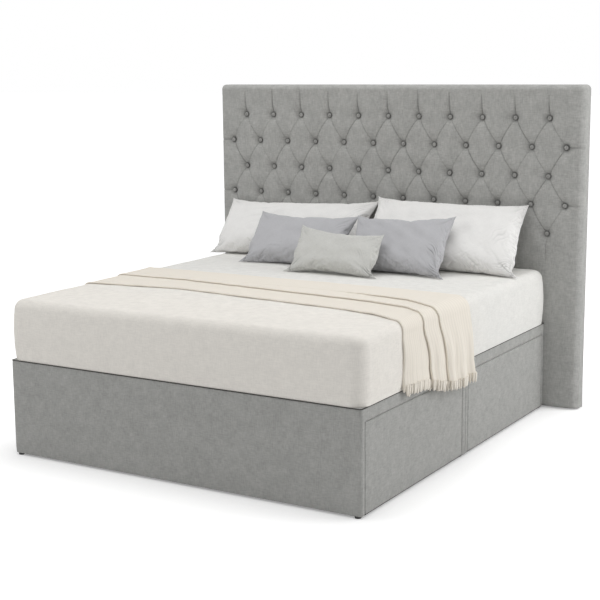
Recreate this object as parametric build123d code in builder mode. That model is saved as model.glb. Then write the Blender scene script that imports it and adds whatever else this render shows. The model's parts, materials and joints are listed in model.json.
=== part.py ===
"""Super-king divan bed with a floor-standing, deep-buttoned headboard, made up with its bedding.

The base is two upholstered halves that stand end to end. Each half is a timber box with a drawer on
each side, closed by a plywood deck. The mattress lies on both decks, and carries the bedding.
The frame has +X to the bed's right, seen from its foot, +Y towards the headboard and +Z up.
Its origin is on the floor, under the centre of the whole bed.
"""

import os
from math import atan2, cos, degrees, hypot, radians, sin

from build123d import *

os.makedirs("parts", exist_ok=True)

# Base
base_width = 1830
base_length = 1980
base_top = 450
half_gap = 2
corner_radius = 14
fabric = 4
board = 18
glide_height = 10
glide_diameter = 28
glide_edge = 2
glide_stem = 4
glide_stem_length = 18
stem_clearance = 0.1
stem_tip_gap = 0.5
dust_cloth = 2
deck_cloth = 3
deck_board = 9
post_width = 44
post_depth = 24
spine_glide_spacing = 640
slat_width = 45
slat_depth = 30
slat_spacing = 240
slats_a_side = 3
bottom_rail_height = 32
bottom_rail_gap = 4

# Drawers
rail_strip = 56
drawer_gap = 3
drawer_floor_gap = 2
drawer_edge_radius = 5
drawer_depth = 600
drawer_side_height = 246
drawer_side_bottom = 54
drawer_wall = 12
drawer_bottom = 4
drawer_bottom_lift = 6
runner_length = 560
runner_depth = 18
runner_height = 24
runner_wall = 3
runner_middle = 110
slide_clearance = 0.5
slide_reach_gap = 5
slide_side_gap = 1
slide_front_gap = 5

# Mattress
mattress_depth = 280
mattress_head_gap = 1
mattress_foot_inset = 4
mattress_corner = 62
mattress_top_edge = 46
mattress_bottom_edge = 16
sheet_cloth = 2
sheet_hem_width = 90
ticking = 3
comfort_top = 55
comfort_bottom = 28

# Headboard
headboard_height = 1660
headboard_thickness = 100
headboard_floor_gap = 4
headboard_corner = 26
headboard_edge = 18
headboard_cloth = 3
headboard_foam = 50
headboard_panel = 12
headboard_lining = 2
leg_width = 50
outer_leg_inset = 24
cross_rail_height = 60
cross_rail_middle = 800
button_columns = 12
button_pitch = 182
button_rows = 5
button_row_pitch = 146
button_top_drop = 166
button_diameter = 25
button_depth = 10
button_round = 5
dimple_mouth_radius = 40
dimple_floor_radius = 15
dimple_depth = 24
tie_diameter = 2
tie_clearance = 0.3
toggle_diameter = 11
toggle_depth = 3
pleat_half_width = 52
pleat_depth = 15
pleat_knee_out_share = 0.56
pleat_knee_depth_share = 0.32
crease_half_width = 15
crease_depth = 9
lower_crease_length = 300

# Headboard fixings
bolt_diameter = 8
bolt_clearance = 0.5
bolt_spacing = 1200
bolt_low = 80
bolt_rise = 220
bolt_head_diameter = 16
bolt_head_height = 6
bolt_head_pocket = 12
bolt_pocket_clearance = 1
bolt_tail = 12
nut_flange_diameter = 22
nut_flange = 2
nut_barrel_diameter = 11
nut_barrel = 12
nut_clearance = 0.05

# Plates that hold the two halves together
link_plate_width = 60
link_plate_length = 80
link_plate = 3
link_plate_spacing = 900
link_screw = 4
link_screw_length = 32
link_screw_head = 8
link_screw_head_height = 2.4
link_screw_clearance = 0.1

# Bedding
rest_clearance = 0.3
pillow_width = 912
pillow_thickness = 150
pillow_gap = 27
pillow_pair_shift = -18
left_pillow_height = 440
left_pillow_lean = 44
right_pillow_height = 480
right_pillow_lean = 42
cushion_width = 590
cushion_thickness = 115
cushion_gap = 45
cushion_pair_shift = -34
left_cushion_height = 345
left_cushion_lean = 42
right_cushion_height = 368
right_cushion_lean = 44
small_cushion_width = 520
small_cushion_height = 275
small_cushion_thickness = 92
small_cushion_shift = 42
small_cushion_lean = 46
fill_station_shares = (-1, -0.9, -0.55, 0, 0.55, 0.9, 1)
fill_thickness_shares = (0.07, 0.42, 0.86, 1, 0.86, 0.42, 0.07)
fill_height_shares = (1, 0.965, 0.925, 0.91, 0.925, 0.965, 1)
throw_fold = 9
throw_left_hem = 410
throw_front_hem = 404
throw_back_hem = 397
# Each fold's front line over the mattress: shares of its half width and of its length from the foot
throw_front_shares = (
    ((-1, 0.262), (-0.45, 0.302), (0.1, 0.272), (1, 0.222)),
    ((-1, 0.415), (-0.5, 0.41), (0, 0.378), (1, 0.317)),
    ((0.52, 0.51), (0.6, 0.41), (1, 0.345)),
)
throw_left_hem_shares = (0.268, 0.42)
throw_right_hem_shares = (0.175, 0.286, 0.36)
throw_back_share = 0.51
throw_back_right_share = 0.535

# Places worked out from the sizes above
bed_length = base_length + headboard_thickness
foot_y = -bed_length / 2
head_y = foot_y + base_length
wall_y = bed_length / 2
join_y = foot_y + base_length / 2
half_length = (base_length - half_gap) / 2
frame_width = base_width - 2 * fabric
frame_length = half_length - 2 * fabric
frame_bottom = glide_height + dust_cloth
deck_under = base_top - deck_cloth - deck_board
frame_height = deck_under - frame_bottom
opening_length = frame_length - 2 * post_depth
clear_length = frame_length - 2 * board
rail_under = base_top - rail_strip
board_x = base_width / 2 - fabric
box_x = board_x - board
mattress_top = base_top + mattress_depth
mattress_foot_y = foot_y + mattress_foot_inset
mattress_length = head_y - mattress_head_gap - mattress_foot_y
mattress_y = mattress_foot_y + mattress_length / 2
headboard_width = button_columns * button_pitch
panel_y = head_y + headboard_cloth + headboard_foam
leg_y = panel_y + headboard_panel
lining_y = wall_y - headboard_lining
inner_top = headboard_height - headboard_cloth
overrun = headboard_thickness

# Name, middle and outward direction of each half of the base
halves = (
    ("foot", foot_y + half_length / 2, -1),
    ("head", head_y - half_length / 2, 1),
)
sides = (("left", -1), ("right", 1))


def save(piece, name):
    """Label a finished piece and write it under the same name."""
    piece.part.label = name
    export_step(piece.part, f"parts/{name}.step")


def half_outline(middle, outward, inset):
    """Plan of one half of the base, inset from its outer faces, with its two outer corners rounded."""
    with BuildSketch() as outline:
        with Locations((0, middle)):
            Rectangle(base_width - 2 * inset, half_length - 2 * inset)
        outer = outline.vertices().sort_by(Axis.Y)[::outward][-2:]
        fillet(outer, corner_radius - inset)
    return outline.sketch


def link_screw_points(middle, outward):
    """Where the two screws of one half go up into its end board at the join."""
    row = middle - outward * (frame_length - board) / 2
    return [(side * link_plate_spacing / 2, row) for name, side in sides]


def glide_points(middle):
    """The six glides under one half: four under its posts and two under its spine."""
    post_x = (frame_width - post_width) / 2
    post_y = (frame_length - post_depth) / 2
    corners = [(i * post_x, middle + j * post_y) for i in (-1, 1) for j in (-1, 1)]
    return corners + [(0, middle + j * spine_glide_spacing / 2) for j in (-1, 1)]


def drill(points, bottom, diameter, depth):
    """Round holes of one depth, up into the part that is being built."""
    with BuildSketch(Plane.XY.offset(bottom)) as holes:
        with Locations(*points):
            Circle(diameter / 2)
    extrude(holes.sketch, amount=depth, mode=Mode.SUBTRACT)


def bolt_pattern(at_y, diameter):
    """The headboard's four bolt places, drawn at a distance along the bed."""
    with BuildSketch(Plane.XZ.offset(-at_y)) as pattern:
        with Locations((0, bolt_low + bolt_rise / 2)):
            with GridLocations(bolt_spacing, bolt_rise, 2, 2):
                Circle(diameter / 2)
    return pattern.sketch


def bolt_holes(back_y, front_y, diameter):
    """The four bolts' holes between two distances along the bed."""
    extrude(bolt_pattern(back_y, diameter), amount=back_y - front_y, mode=Mode.SUBTRACT)


def build_end_boards(half, middle, outward):
    """The boards across the foot and the head of one half, between its posts."""
    with BuildPart() as end_boards:
        with BuildSketch(Plane((0, middle, frame_bottom))):
            with GridLocations(0, frame_length - board, 1, 2):
                Rectangle(frame_width - 2 * post_width, board)
        extrude(amount=frame_height)
        drill(
            link_screw_points(middle, outward),
            frame_bottom,
            link_screw + 2 * link_screw_clearance,
            link_screw_length,
        )
        if half == "head":
            bolt_holes(head_y, head_y - fabric - board, nut_barrel_diameter)
    save(end_boards, f"{half}_base_end_boards")


def build_upholstery(half, middle, outward):
    """The fabric and card skin around one half, open where its drawers pass."""
    with BuildPart() as skin:
        with BuildSketch(Plane.XY.offset(glide_height)):
            add(half_outline(middle, outward, 0))
            add(half_outline(middle, outward, fabric), mode=Mode.SUBTRACT)
        extrude(amount=base_top - deck_cloth - glide_height)
        with BuildSketch(Plane.YZ.offset(-base_width)):
            with Locations((middle, rail_under)):
                Rectangle(opening_length, base_top, align=(Align.CENTER, Align.MAX))
        extrude(amount=2 * base_width, mode=Mode.SUBTRACT)
        if half == "head":
            bolt_holes(head_y, head_y - fabric, bolt_diameter + 2 * bolt_clearance)
    save(skin, f"{half}_base_upholstery")


def build_timber():
    """Corner posts, side rails, spines, slats and deck boards of both halves."""
    stem_hole = glide_stem + 2 * stem_clearance
    stem_depth = glide_stem_length - dust_cloth
    with BuildPart() as posts:
        for half, middle, outward in halves:
            with BuildSketch(Plane.XY.offset(frame_bottom)):
                with Locations((0, middle)):
                    with GridLocations(frame_width - post_width, frame_length - post_depth, 2, 2):
                        Rectangle(post_width, post_depth)
                add(half_outline(middle, outward, fabric), mode=Mode.INTERSECT)
        extrude(amount=frame_height)
        for half, middle, outward in halves:
            drill(glide_points(middle), frame_bottom, stem_hole, stem_depth)
    save(posts, "base_corner_posts")

    bottom_rail_x = box_x - bottom_rail_gap - board / 2
    with BuildPart() as rails:
        for half, middle, outward in halves:
            with BuildSketch(Plane((0, middle, rail_under))):
                with GridLocations(frame_width - board, 0, 2, 1):
                    Rectangle(board, opening_length)
        extrude(amount=deck_under - rail_under)
        for half, middle, outward in halves:
            with BuildSketch(Plane((0, middle, frame_bottom))):
                with GridLocations(2 * bottom_rail_x, 0, 2, 1):
                    Rectangle(board, opening_length)
        extrude(amount=bottom_rail_height)
    save(rails, "base_side_rails")

    with BuildPart() as spines:
        for half, middle, outward in halves:
            with BuildSketch(Plane((0, middle, frame_bottom))):
                Rectangle(board, clear_length)
        extrude(amount=frame_height)
        for half, middle, outward in halves:
            drill(glide_points(middle), frame_bottom, stem_hole, stem_depth)
    save(spines, "base_spines")

    slat_length = box_x - board / 2
    slat_x = board / 2 + slat_length / 2
    with BuildPart() as slats:
        for half, middle, outward in halves:
            with BuildSketch(Plane((0, middle, deck_under - slat_depth))):
                with GridLocations(2 * slat_x, slat_spacing, 2, slats_a_side):
                    Rectangle(slat_length, slat_width)
        extrude(amount=slat_depth)
    save(slats, "base_deck_slats")

    with BuildPart() as decks:
        for half, middle, outward in halves:
            with BuildSketch(Plane.XY.offset(deck_under)):
                add(half_outline(middle, outward, fabric))
        extrude(amount=deck_board)
    save(decks, "base_deck_boards")


def build_base_cloths():
    """The cloths that cover the decks and close the undersides of both halves."""
    with BuildPart() as deck_cloths:
        for half, middle, outward in halves:
            with BuildSketch(Plane.XY.offset(base_top - deck_cloth)):
                add(half_outline(middle, outward, 0))
        extrude(amount=deck_cloth)
    save(deck_cloths, "base_deck_cloths")

    with BuildPart() as dust_cloths:
        for half, middle, outward in halves:
            with BuildSketch(Plane.XY.offset(glide_height)):
                add(half_outline(middle, outward, fabric))
        extrude(amount=dust_cloth)
        for half, middle, outward in halves:
            drill(
                glide_points(middle), glide_height, glide_stem + 2 * stem_clearance, dust_cloth
            )
            drill(
                link_screw_points(middle, outward),
                glide_height,
                link_screw + 2 * link_screw_clearance,
                dust_cloth,
            )
    save(dust_cloths, "base_dust_cloths")


def build_glides():
    """Twelve nail-on glides, on which the base stands."""
    points = [point for half, middle, outward in halves for point in glide_points(middle)]
    with BuildPart() as glides:
        with BuildSketch():
            with Locations(*points):
                Circle(glide_diameter / 2)
        extrude(amount=glide_height)
        chamfer(glides.edges().group_by(Axis.Z)[0], glide_edge)
        with BuildSketch(Plane.XY.offset(glide_height)):
            with Locations(*points):
                Circle(glide_stem / 2)
        extrude(amount=glide_stem_length - stem_tip_gap)
    save(glides, "base_glides")


def build_link_fixings():
    """Two steel plates under the join, and the screws that go up through them into the end boards."""
    plate_bottom = glide_height - link_plate
    points = [
        point for half, middle, outward in halves for point in link_screw_points(middle, outward)
    ]
    with BuildPart() as plates:
        with BuildSketch(Plane((0, join_y, plate_bottom))):
            with GridLocations(link_plate_spacing, 0, 2, 1):
                RectangleRounded(link_plate_width, link_plate_length, link_plate)
        extrude(amount=link_plate)
        drill(points, plate_bottom, link_screw + 2 * link_screw_clearance, link_plate)
    save(plates, "base_link_plates")

    with BuildPart() as screws:
        with BuildSketch(Plane.XY.offset(plate_bottom)):
            with Locations(*points):
                Circle(link_screw_head / 2)
        extrude(amount=-link_screw_head_height)
        fillet(screws.edges().group_by(Axis.Z)[0], link_screw_head_height / 2)
        with BuildSketch(Plane.XY.offset(plate_bottom)):
            with Locations(*points):
                Circle(link_screw / 2)
        extrude(amount=link_screw_length)
    save(screws, "base_link_screws")


def build_runners():
    """Channels on the inner faces of the end boards, in which the drawers' slides run."""
    runner_x = frame_width / 2 - post_width
    with BuildPart() as runners:
        for half, middle, outward in halves:
            for end in (-1, 1):
                web = middle + end * clear_length / 2
                with BuildSketch(Plane.YZ.offset(-runner_x)):
                    with Locations((web - end * runner_depth / 2, runner_middle)):
                        Rectangle(runner_depth, runner_height)
                    with Locations((web - end * (runner_depth / 2 + runner_wall), runner_middle)):
                        Rectangle(
                            runner_depth, runner_height - 2 * runner_wall, mode=Mode.SUBTRACT
                        )
        extrude(amount=runner_length)
        mirror(about=Plane.YZ)
    save(runners, "drawer_runners")


def build_drawer(half, middle, side_name, side):
    """One drawer, which slides out sideways: an upholstered front, a box and two slide strips."""
    name = f"{half}_{side_name}_drawer"
    front_length = opening_length - 2 * drawer_gap
    front_bottom = glide_height + drawer_floor_gap
    front_height = rail_under - drawer_gap - front_bottom
    front_centre = (middle, front_bottom + front_height / 2)
    back_plane = Plane.YZ.offset(side * box_x)

    with BuildPart() as front_board:
        with BuildSketch(back_plane):
            with Locations(front_centre):
                Rectangle(front_length - 2 * fabric, front_height - 2 * fabric)
        extrude(amount=side * board)
    save(front_board, f"{name}_front_board")

    with BuildPart() as front_skin:
        with BuildSketch(back_plane):
            with Locations(front_centre):
                Rectangle(front_length, front_height)
        extrude(amount=side * (board + fabric))
        outer_face = front_skin.faces().sort_by(Axis.X)[::side][-1]
        fillet(outer_face.edges(), drawer_edge_radius)
        with BuildSketch(back_plane):
            with Locations(front_centre):
                Rectangle(front_length - 2 * fabric, front_height - 2 * fabric)
        extrude(amount=side * board, mode=Mode.SUBTRACT)
    save(front_skin, f"{name}_front_upholstery")

    box_length = clear_length - 2 * (runner_depth + slide_side_gap)
    inner_length = box_length - 2 * drawer_wall
    with BuildPart() as box_sides:
        with BuildSketch(Plane((side * (box_x - drawer_depth / 2), middle, drawer_side_bottom))):
            with GridLocations(0, box_length - drawer_wall, 1, 2):
                Rectangle(drawer_depth, drawer_wall)
        extrude(amount=drawer_side_height)
    save(box_sides, f"{name}_box_sides")

    back_x = box_x - drawer_depth + drawer_wall / 2
    with BuildPart() as box_back:
        with BuildSketch(Plane((side * back_x, middle, drawer_side_bottom))):
            Rectangle(drawer_wall, inner_length)
        extrude(amount=drawer_side_height)
    save(box_back, f"{name}_box_back")

    floor_depth = drawer_depth - drawer_wall
    floor_z = drawer_side_bottom + drawer_bottom_lift
    with BuildPart() as box_floor:
        with BuildSketch(Plane((side * (box_x - floor_depth / 2), middle, floor_z))):
            Rectangle(floor_depth, inner_length)
        extrude(amount=drawer_bottom)
    save(box_floor, f"{name}_box_bottom")

    slide_height = runner_height - 2 * (runner_wall + slide_clearance)
    slide_depth = runner_depth + slide_side_gap - runner_wall - slide_reach_gap
    slide_length = drawer_depth - slide_front_gap
    slide_x = box_x - drawer_depth + slide_length / 2
    with BuildPart() as slides:
        with BuildSketch(Plane((side * slide_x, middle, runner_middle - slide_height / 2))):
            with GridLocations(0, box_length + slide_depth, 1, 2):
                Rectangle(slide_length, slide_depth)
        extrude(amount=slide_height)
    save(slides, f"{name}_slides")


def button_rows_across():
    """Each row's buttons as counts of half pitches from the middle: eleven and twelve in turn."""
    rows = []
    for row in range(button_rows):
        count = button_columns - 1 + row % 2
        rows.append([2 * i - (count - 1) for i in range(count)])
    return rows


def button_point(across, row):
    """Where a button stands on the headboard's front."""
    return (across * button_pitch / 2, headboard_height - button_top_drop - row * button_row_pitch)


def button_points():
    """Where all the buttons stand."""
    rows = button_rows_across()
    return [button_point(across, row) for row, line in enumerate(rows) for across in line]


def pleat_runs():
    """Each straight diagonal pleat: the button at its top end, its lean and its count of steps."""
    places = {(across, row) for row, line in enumerate(button_rows_across()) for across in line}
    runs = []
    for lean in (-1, 1):
        for across, row in sorted(places):
            steps = 0
            while (across + (steps + 1) * lean, row + steps + 1) in places:
                steps += 1
            if steps and (across - lean, row - 1) not in places:
                runs.append((button_point(across, row), lean, steps))
    return runs


def cut_valley(face_y, start, direction, length, section):
    """A straight valley in the headboard's front, whose half section is (out, deep) points."""
    unit = hypot(*direction)
    along = (direction[0] / unit, 0, direction[1] / unit)
    across = (-along[2], 0, along[0])
    right = [(out, -deep) for out, deep in section]
    left = [(-out, up) for out, up in right[:-1]]
    with BuildSketch(Plane((start[0], face_y, start[1]), x_dir=across, z_dir=along)) as valley:
        with BuildLine():
            Polyline(*right, *left[::-1], close=True)
        make_face()
    extrude(valley.sketch, amount=length, mode=Mode.SUBTRACT)


def headboard_outline(inset, at_y):
    """Front outline of the headboard, inset from its edges, with its top corners rounded."""
    with BuildSketch(Plane.XZ.offset(-at_y)) as outline:
        with Locations((0, headboard_floor_gap + inset)):
            Rectangle(
                headboard_width - 2 * inset,
                headboard_height - headboard_floor_gap - 2 * inset,
                align=(Align.CENTER, Align.MIN),
            )
        fillet(outline.vertices().sort_by(Axis.Y)[-2:], headboard_corner - inset)
    return outline.sketch


def headboard_pad(inset, back_y):
    """The headboard's soft block, inset by a cloth's thickness, with its pleats and dimples."""
    face_y = head_y + inset
    diamond = hypot(button_pitch / 2, button_row_pitch)
    pleat = (
        (pleat_half_width, -pleat_depth),
        (pleat_half_width, 0),
        (pleat_half_width * pleat_knee_out_share, pleat_depth * pleat_knee_depth_share),
        (0, pleat_depth),
    )
    crease = ((crease_half_width, -crease_depth), (crease_half_width, 0), (0, crease_depth))
    rows = button_rows_across()
    with BuildPart() as pad:
        extrude(headboard_outline(inset, face_y), amount=face_y - back_y)
        front = pad.faces().sort_by(Axis.Y)[0]
        fillet(front.edges(), headboard_edge - inset)
        for start, lean, steps in pleat_runs():
            step = (lean * button_pitch / 2, -button_row_pitch)
            cut_valley(face_y, start, step, steps * diamond, pleat)
        for across in rows[0]:
            start = button_point(across, 0)
            cut_valley(face_y, start, (0, 1), button_top_drop + overrun, crease)
        for across in rows[-1]:
            start = button_point(across, button_rows - 1)
            cut_valley(face_y, start, (0, -1), lower_crease_length, crease)
        for row in range(1, button_rows, 2):
            for end in (0, -1):
                start = button_point(rows[row][end], row)
                cut_valley(face_y, start, (rows[row][end], 0), button_pitch + overrun, crease)
        flare = degrees(atan2(dimple_mouth_radius - dimple_floor_radius, dimple_depth))
        with BuildSketch(Plane.XZ.offset(-face_y)):
            with Locations(*button_points()):
                Circle(dimple_mouth_radius)
        extrude(amount=-dimple_depth, taper=flare, mode=Mode.SUBTRACT)
    return pad.part


def leg_points():
    """Middles of the headboard's four legs, which stand on the floor."""
    outer = headboard_width / 2 - headboard_cloth - outer_leg_inset - leg_width / 2
    return [-outer, -bolt_spacing / 2, bolt_spacing / 2, outer]


def tie_holes(front_y, back_y):
    """Fine holes for the buttons' ties, between two distances along the bed."""
    with BuildSketch(Plane.XZ.offset(-back_y)) as holes:
        with Locations(*button_points()):
            Circle(tie_diameter / 2 + tie_clearance)
    extrude(holes.sketch, amount=back_y - front_y, mode=Mode.SUBTRACT)


def build_headboard_pad():
    """The buttoned cover and the foam under it."""
    bolt_hole = bolt_diameter + 2 * bolt_clearance
    outer_block = headboard_pad(0, lining_y)
    inner_block = headboard_pad(headboard_cloth, lining_y)
    foam_block = headboard_pad(headboard_cloth, panel_y)
    with BuildPart() as cover:
        add(outer_block)
        add(inner_block, mode=Mode.SUBTRACT)
        bolt_holes(panel_y, head_y, bolt_hole)
        tie_holes(head_y, panel_y)
        with BuildSketch(Plane.XY.offset(headboard_floor_gap)):
            with Locations(*[(x, leg_y) for x in leg_points()]):
                Rectangle(leg_width, overrun, align=(Align.CENTER, Align.MIN))
        extrude(amount=headboard_cloth, mode=Mode.SUBTRACT)
    save(cover, "headboard_buttoned_cover")

    with BuildPart() as foam:
        add(foam_block)
        bolt_holes(panel_y, head_y, bolt_hole)
        tie_holes(head_y, panel_y)
    save(foam, "headboard_foam")


def build_headboard_frame():
    """The panel behind the foam, the legs and cross rails behind the panel, and the back lining."""
    bolt_hole = bolt_diameter + 2 * bolt_clearance
    with BuildPart() as panel:
        extrude(headboard_outline(headboard_cloth, panel_y), amount=-headboard_panel)
        bolt_holes(leg_y, panel_y, bolt_hole)
        tie_holes(panel_y, leg_y)
    save(panel, "headboard_panel")

    with BuildPart() as legs:
        with BuildSketch(Plane.XZ.offset(-lining_y)):
            with Locations(*[(x, 0) for x in leg_points()]):
                Rectangle(leg_width, inner_top, align=(Align.CENTER, Align.MIN))
        extrude(amount=lining_y - leg_y)
        bolt_holes(lining_y, leg_y, bolt_hole)
        bolt_holes(
            lining_y, lining_y - bolt_head_pocket, bolt_head_diameter + 2 * bolt_pocket_clearance
        )
    save(legs, "headboard_legs")

    columns = leg_points()
    with BuildPart() as rails:
        with BuildSketch(Plane.XZ.offset(-lining_y)):
            for left, right in zip(columns, columns[1:]):
                for height in (cross_rail_middle, inner_top - cross_rail_height / 2):
                    with Locations(((left + right) / 2, height)):
                        Rectangle(right - left - leg_width, cross_rail_height)
        extrude(amount=lining_y - leg_y)
    save(rails, "headboard_cross_rails")

    with BuildPart() as lining:
        extrude(headboard_outline(0, lining_y), amount=-headboard_lining)
    save(lining, "headboard_back_lining")


def build_buttons():
    """The covered buttons, and the ties that pull them in, each with its toggle behind the panel."""
    seat_y = head_y + dimple_depth
    with BuildPart() as buttons:
        with BuildSketch(Plane.XZ.offset(-seat_y)):
            with Locations(*button_points()):
                Circle(button_diameter / 2)
        extrude(amount=button_depth)
        fillet(buttons.edges().group_by(Axis.Y)[0], button_round)
    save(buttons, "headboard_buttons")

    with BuildPart() as ties:
        with BuildSketch(Plane.XZ.offset(-leg_y)):
            with Locations(*button_points()):
                Circle(tie_diameter / 2)
        extrude(amount=leg_y - seat_y)
        with BuildSketch(Plane.XZ.offset(-leg_y)):
            with Locations(*button_points()):
                Circle(toggle_diameter / 2)
        extrude(amount=-toggle_depth)
    save(ties, "headboard_button_ties")


def build_headboard_fixings():
    """Four bolts from the headboard's back into tee nuts behind the base's end board."""
    seat_y = lining_y - bolt_head_pocket
    nut_y = head_y - fabric - board
    with BuildPart() as bolts:
        with BuildSketch(Plane.XZ.offset(-seat_y)):
            with Locations((0, bolt_low + bolt_rise / 2)):
                with GridLocations(bolt_spacing, bolt_rise, 2, 2):
                    RegularPolygon(bolt_head_diameter / 2, 6)
        extrude(amount=-bolt_head_height)
        extrude(bolt_pattern(seat_y, bolt_diameter), amount=seat_y - nut_y + bolt_tail)
    save(bolts, "headboard_bolts")

    with BuildPart() as nuts:
        extrude(bolt_pattern(nut_y, nut_flange_diameter), amount=nut_flange)
        extrude(bolt_pattern(nut_y, nut_barrel_diameter - 2 * nut_clearance), amount=-nut_barrel)
        bolt_holes(head_y, nut_y - nut_flange, bolt_diameter + 2 * nut_clearance)
    save(nuts, "headboard_tee_nuts")


def mattress_block(inset):
    """The mattress's rounded block, inset by the cloths that lie outside it."""
    with BuildPart() as block:
        with BuildSketch(Plane((0, mattress_y, base_top + inset))):
            RectangleRounded(
                base_width - 2 * inset, mattress_length - 2 * inset, mattress_corner - inset
            )
        extrude(amount=mattress_depth - 2 * inset)
        fillet(block.edges().group_by(Axis.Z)[-1], mattress_top_edge - inset)
        fillet(block.edges().group_by(Axis.Z)[0], mattress_bottom_edge - inset)
    return block.part


def build_mattress():
    """Fitted sheet, ticking, comfort layers and spring unit, each inside the one before."""
    inner = sheet_cloth + ticking
    sheet_block = mattress_block(0)
    ticking_block = mattress_block(sheet_cloth)
    core_block = mattress_block(inner)
    with BuildPart() as sheet:
        add(sheet_block)
        add(ticking_block, mode=Mode.SUBTRACT)
        with BuildSketch(Plane((0, mattress_y, base_top))):
            RectangleRounded(
                base_width - 2 * sheet_hem_width,
                mattress_length - 2 * sheet_hem_width,
                mattress_corner,
            )
        extrude(amount=sheet_cloth, mode=Mode.SUBTRACT)
    save(sheet, "fitted_sheet")

    with BuildPart() as cover:
        add(ticking_block)
        add(core_block, mode=Mode.SUBTRACT)
    save(cover, "mattress_ticking")

    top_plane = Plane.XY.offset(mattress_top - inner - comfort_top)
    bottom_plane = Plane.XY.offset(base_top + inner + comfort_bottom)
    with BuildPart() as springs:
        add(core_block)
        split(bisect_by=top_plane, keep=Keep.BOTTOM)
        split(bisect_by=bottom_plane, keep=Keep.TOP)
    save(springs, "mattress_spring_unit")

    with BuildPart() as comfort:
        add(core_block)
        add(springs.part, mode=Mode.SUBTRACT)
    save(comfort, "mattress_comfort_layers")


def foot_against(wall_at, height, lean):
    """Where a pillow's foot stands so that its top edge leans on an upright face."""
    return wall_at - rest_clearance - height * cos(radians(lean))


def foot_before(behind, height, thickness, lean):
    """Where a cushion's foot stands so that it leans on the pillow behind, given by its foot,
    height, thickness and lean. The pillow's face is an arc, so its furthest reach towards the
    cushion is the arc's centre plus its radius."""
    foot, tall, thick, back_lean = behind
    radius = (tall**2 + thick**2) / (4 * thick)
    sink = radius - thick / 2
    back, own = radians(back_lean), radians(lean)
    centre_y = foot + tall / 2 * cos(back) + sink * sin(back)
    centre_z = tall / 2 * sin(back) - sink * cos(back)
    reach = radius - centre_y * sin(own) + centre_z * cos(own)
    return -(reach + thickness / 2 + rest_clearance) / sin(own)


def build_pillow(name, width, height, thickness, x, foot, lean):
    """A knife-edged pillow that leans back: crowned, with drawn-in sides and standing corners."""
    rise = Vector(0, cos(radians(lean)), sin(radians(lean)))
    centre = Vector(x, foot, mattress_top + rest_clearance) + rise * (height / 2)
    with BuildPart() as pillow:
        for station, thick, tall in zip(
            fill_station_shares, fill_thickness_shares, fill_height_shares
        ):
            at = centre + Vector(station * width / 2, 0, 0)
            low, high = (-tall * height / 2, 0), (tall * height / 2, 0)
            with BuildSketch(Plane(at, x_dir=rise, z_dir=(1, 0, 0))):
                with BuildLine():
                    ThreePointArc(low, (0, thick * thickness / 2), high)
                    ThreePointArc(high, (0, -thick * thickness / 2), low)
                make_face()
        loft()
    save(pillow, name)


def build_bedding():
    """Two pillows against the headboard, two cushions against them, and a small one in front."""
    columns = (
        ("left", -1, left_pillow_height, left_pillow_lean, left_cushion_height, left_cushion_lean),
        ("right", 1, right_pillow_height, right_pillow_lean, right_cushion_height, right_cushion_lean),
    )
    small_feet = []
    for name, side, height, lean, cushion_height, cushion_lean in columns:
        foot = foot_against(head_y, height, lean)
        x = pillow_pair_shift + side * (pillow_width + pillow_gap) / 2
        build_pillow(f"{name}_pillow", pillow_width, height, pillow_thickness, x, foot, lean)

        behind = (foot, height, pillow_thickness, lean)
        foot = foot_before(behind, cushion_height, cushion_thickness, cushion_lean)
        x = cushion_pair_shift + side * (cushion_width + cushion_gap) / 2
        build_pillow(
            f"{name}_cushion", cushion_width, cushion_height, cushion_thickness, x, foot, cushion_lean
        )

        behind = (foot, cushion_height, cushion_thickness, cushion_lean)
        small_feet.append(
            foot_before(behind, small_cushion_height, small_cushion_thickness, small_cushion_lean)
        )
    build_pillow(
        "small_cushion",
        small_cushion_width,
        small_cushion_height,
        small_cushion_thickness,
        small_cushion_shift,
        min(small_feet),
        small_cushion_lean,
    )


def bed_point(x_share, y_share):
    """A point over the mattress, from shares of its flat top's half width and of its length."""
    flat = base_width / 2 - mattress_top_edge
    return (x_share * flat, mattress_foot_y + y_share * mattress_length)


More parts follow.
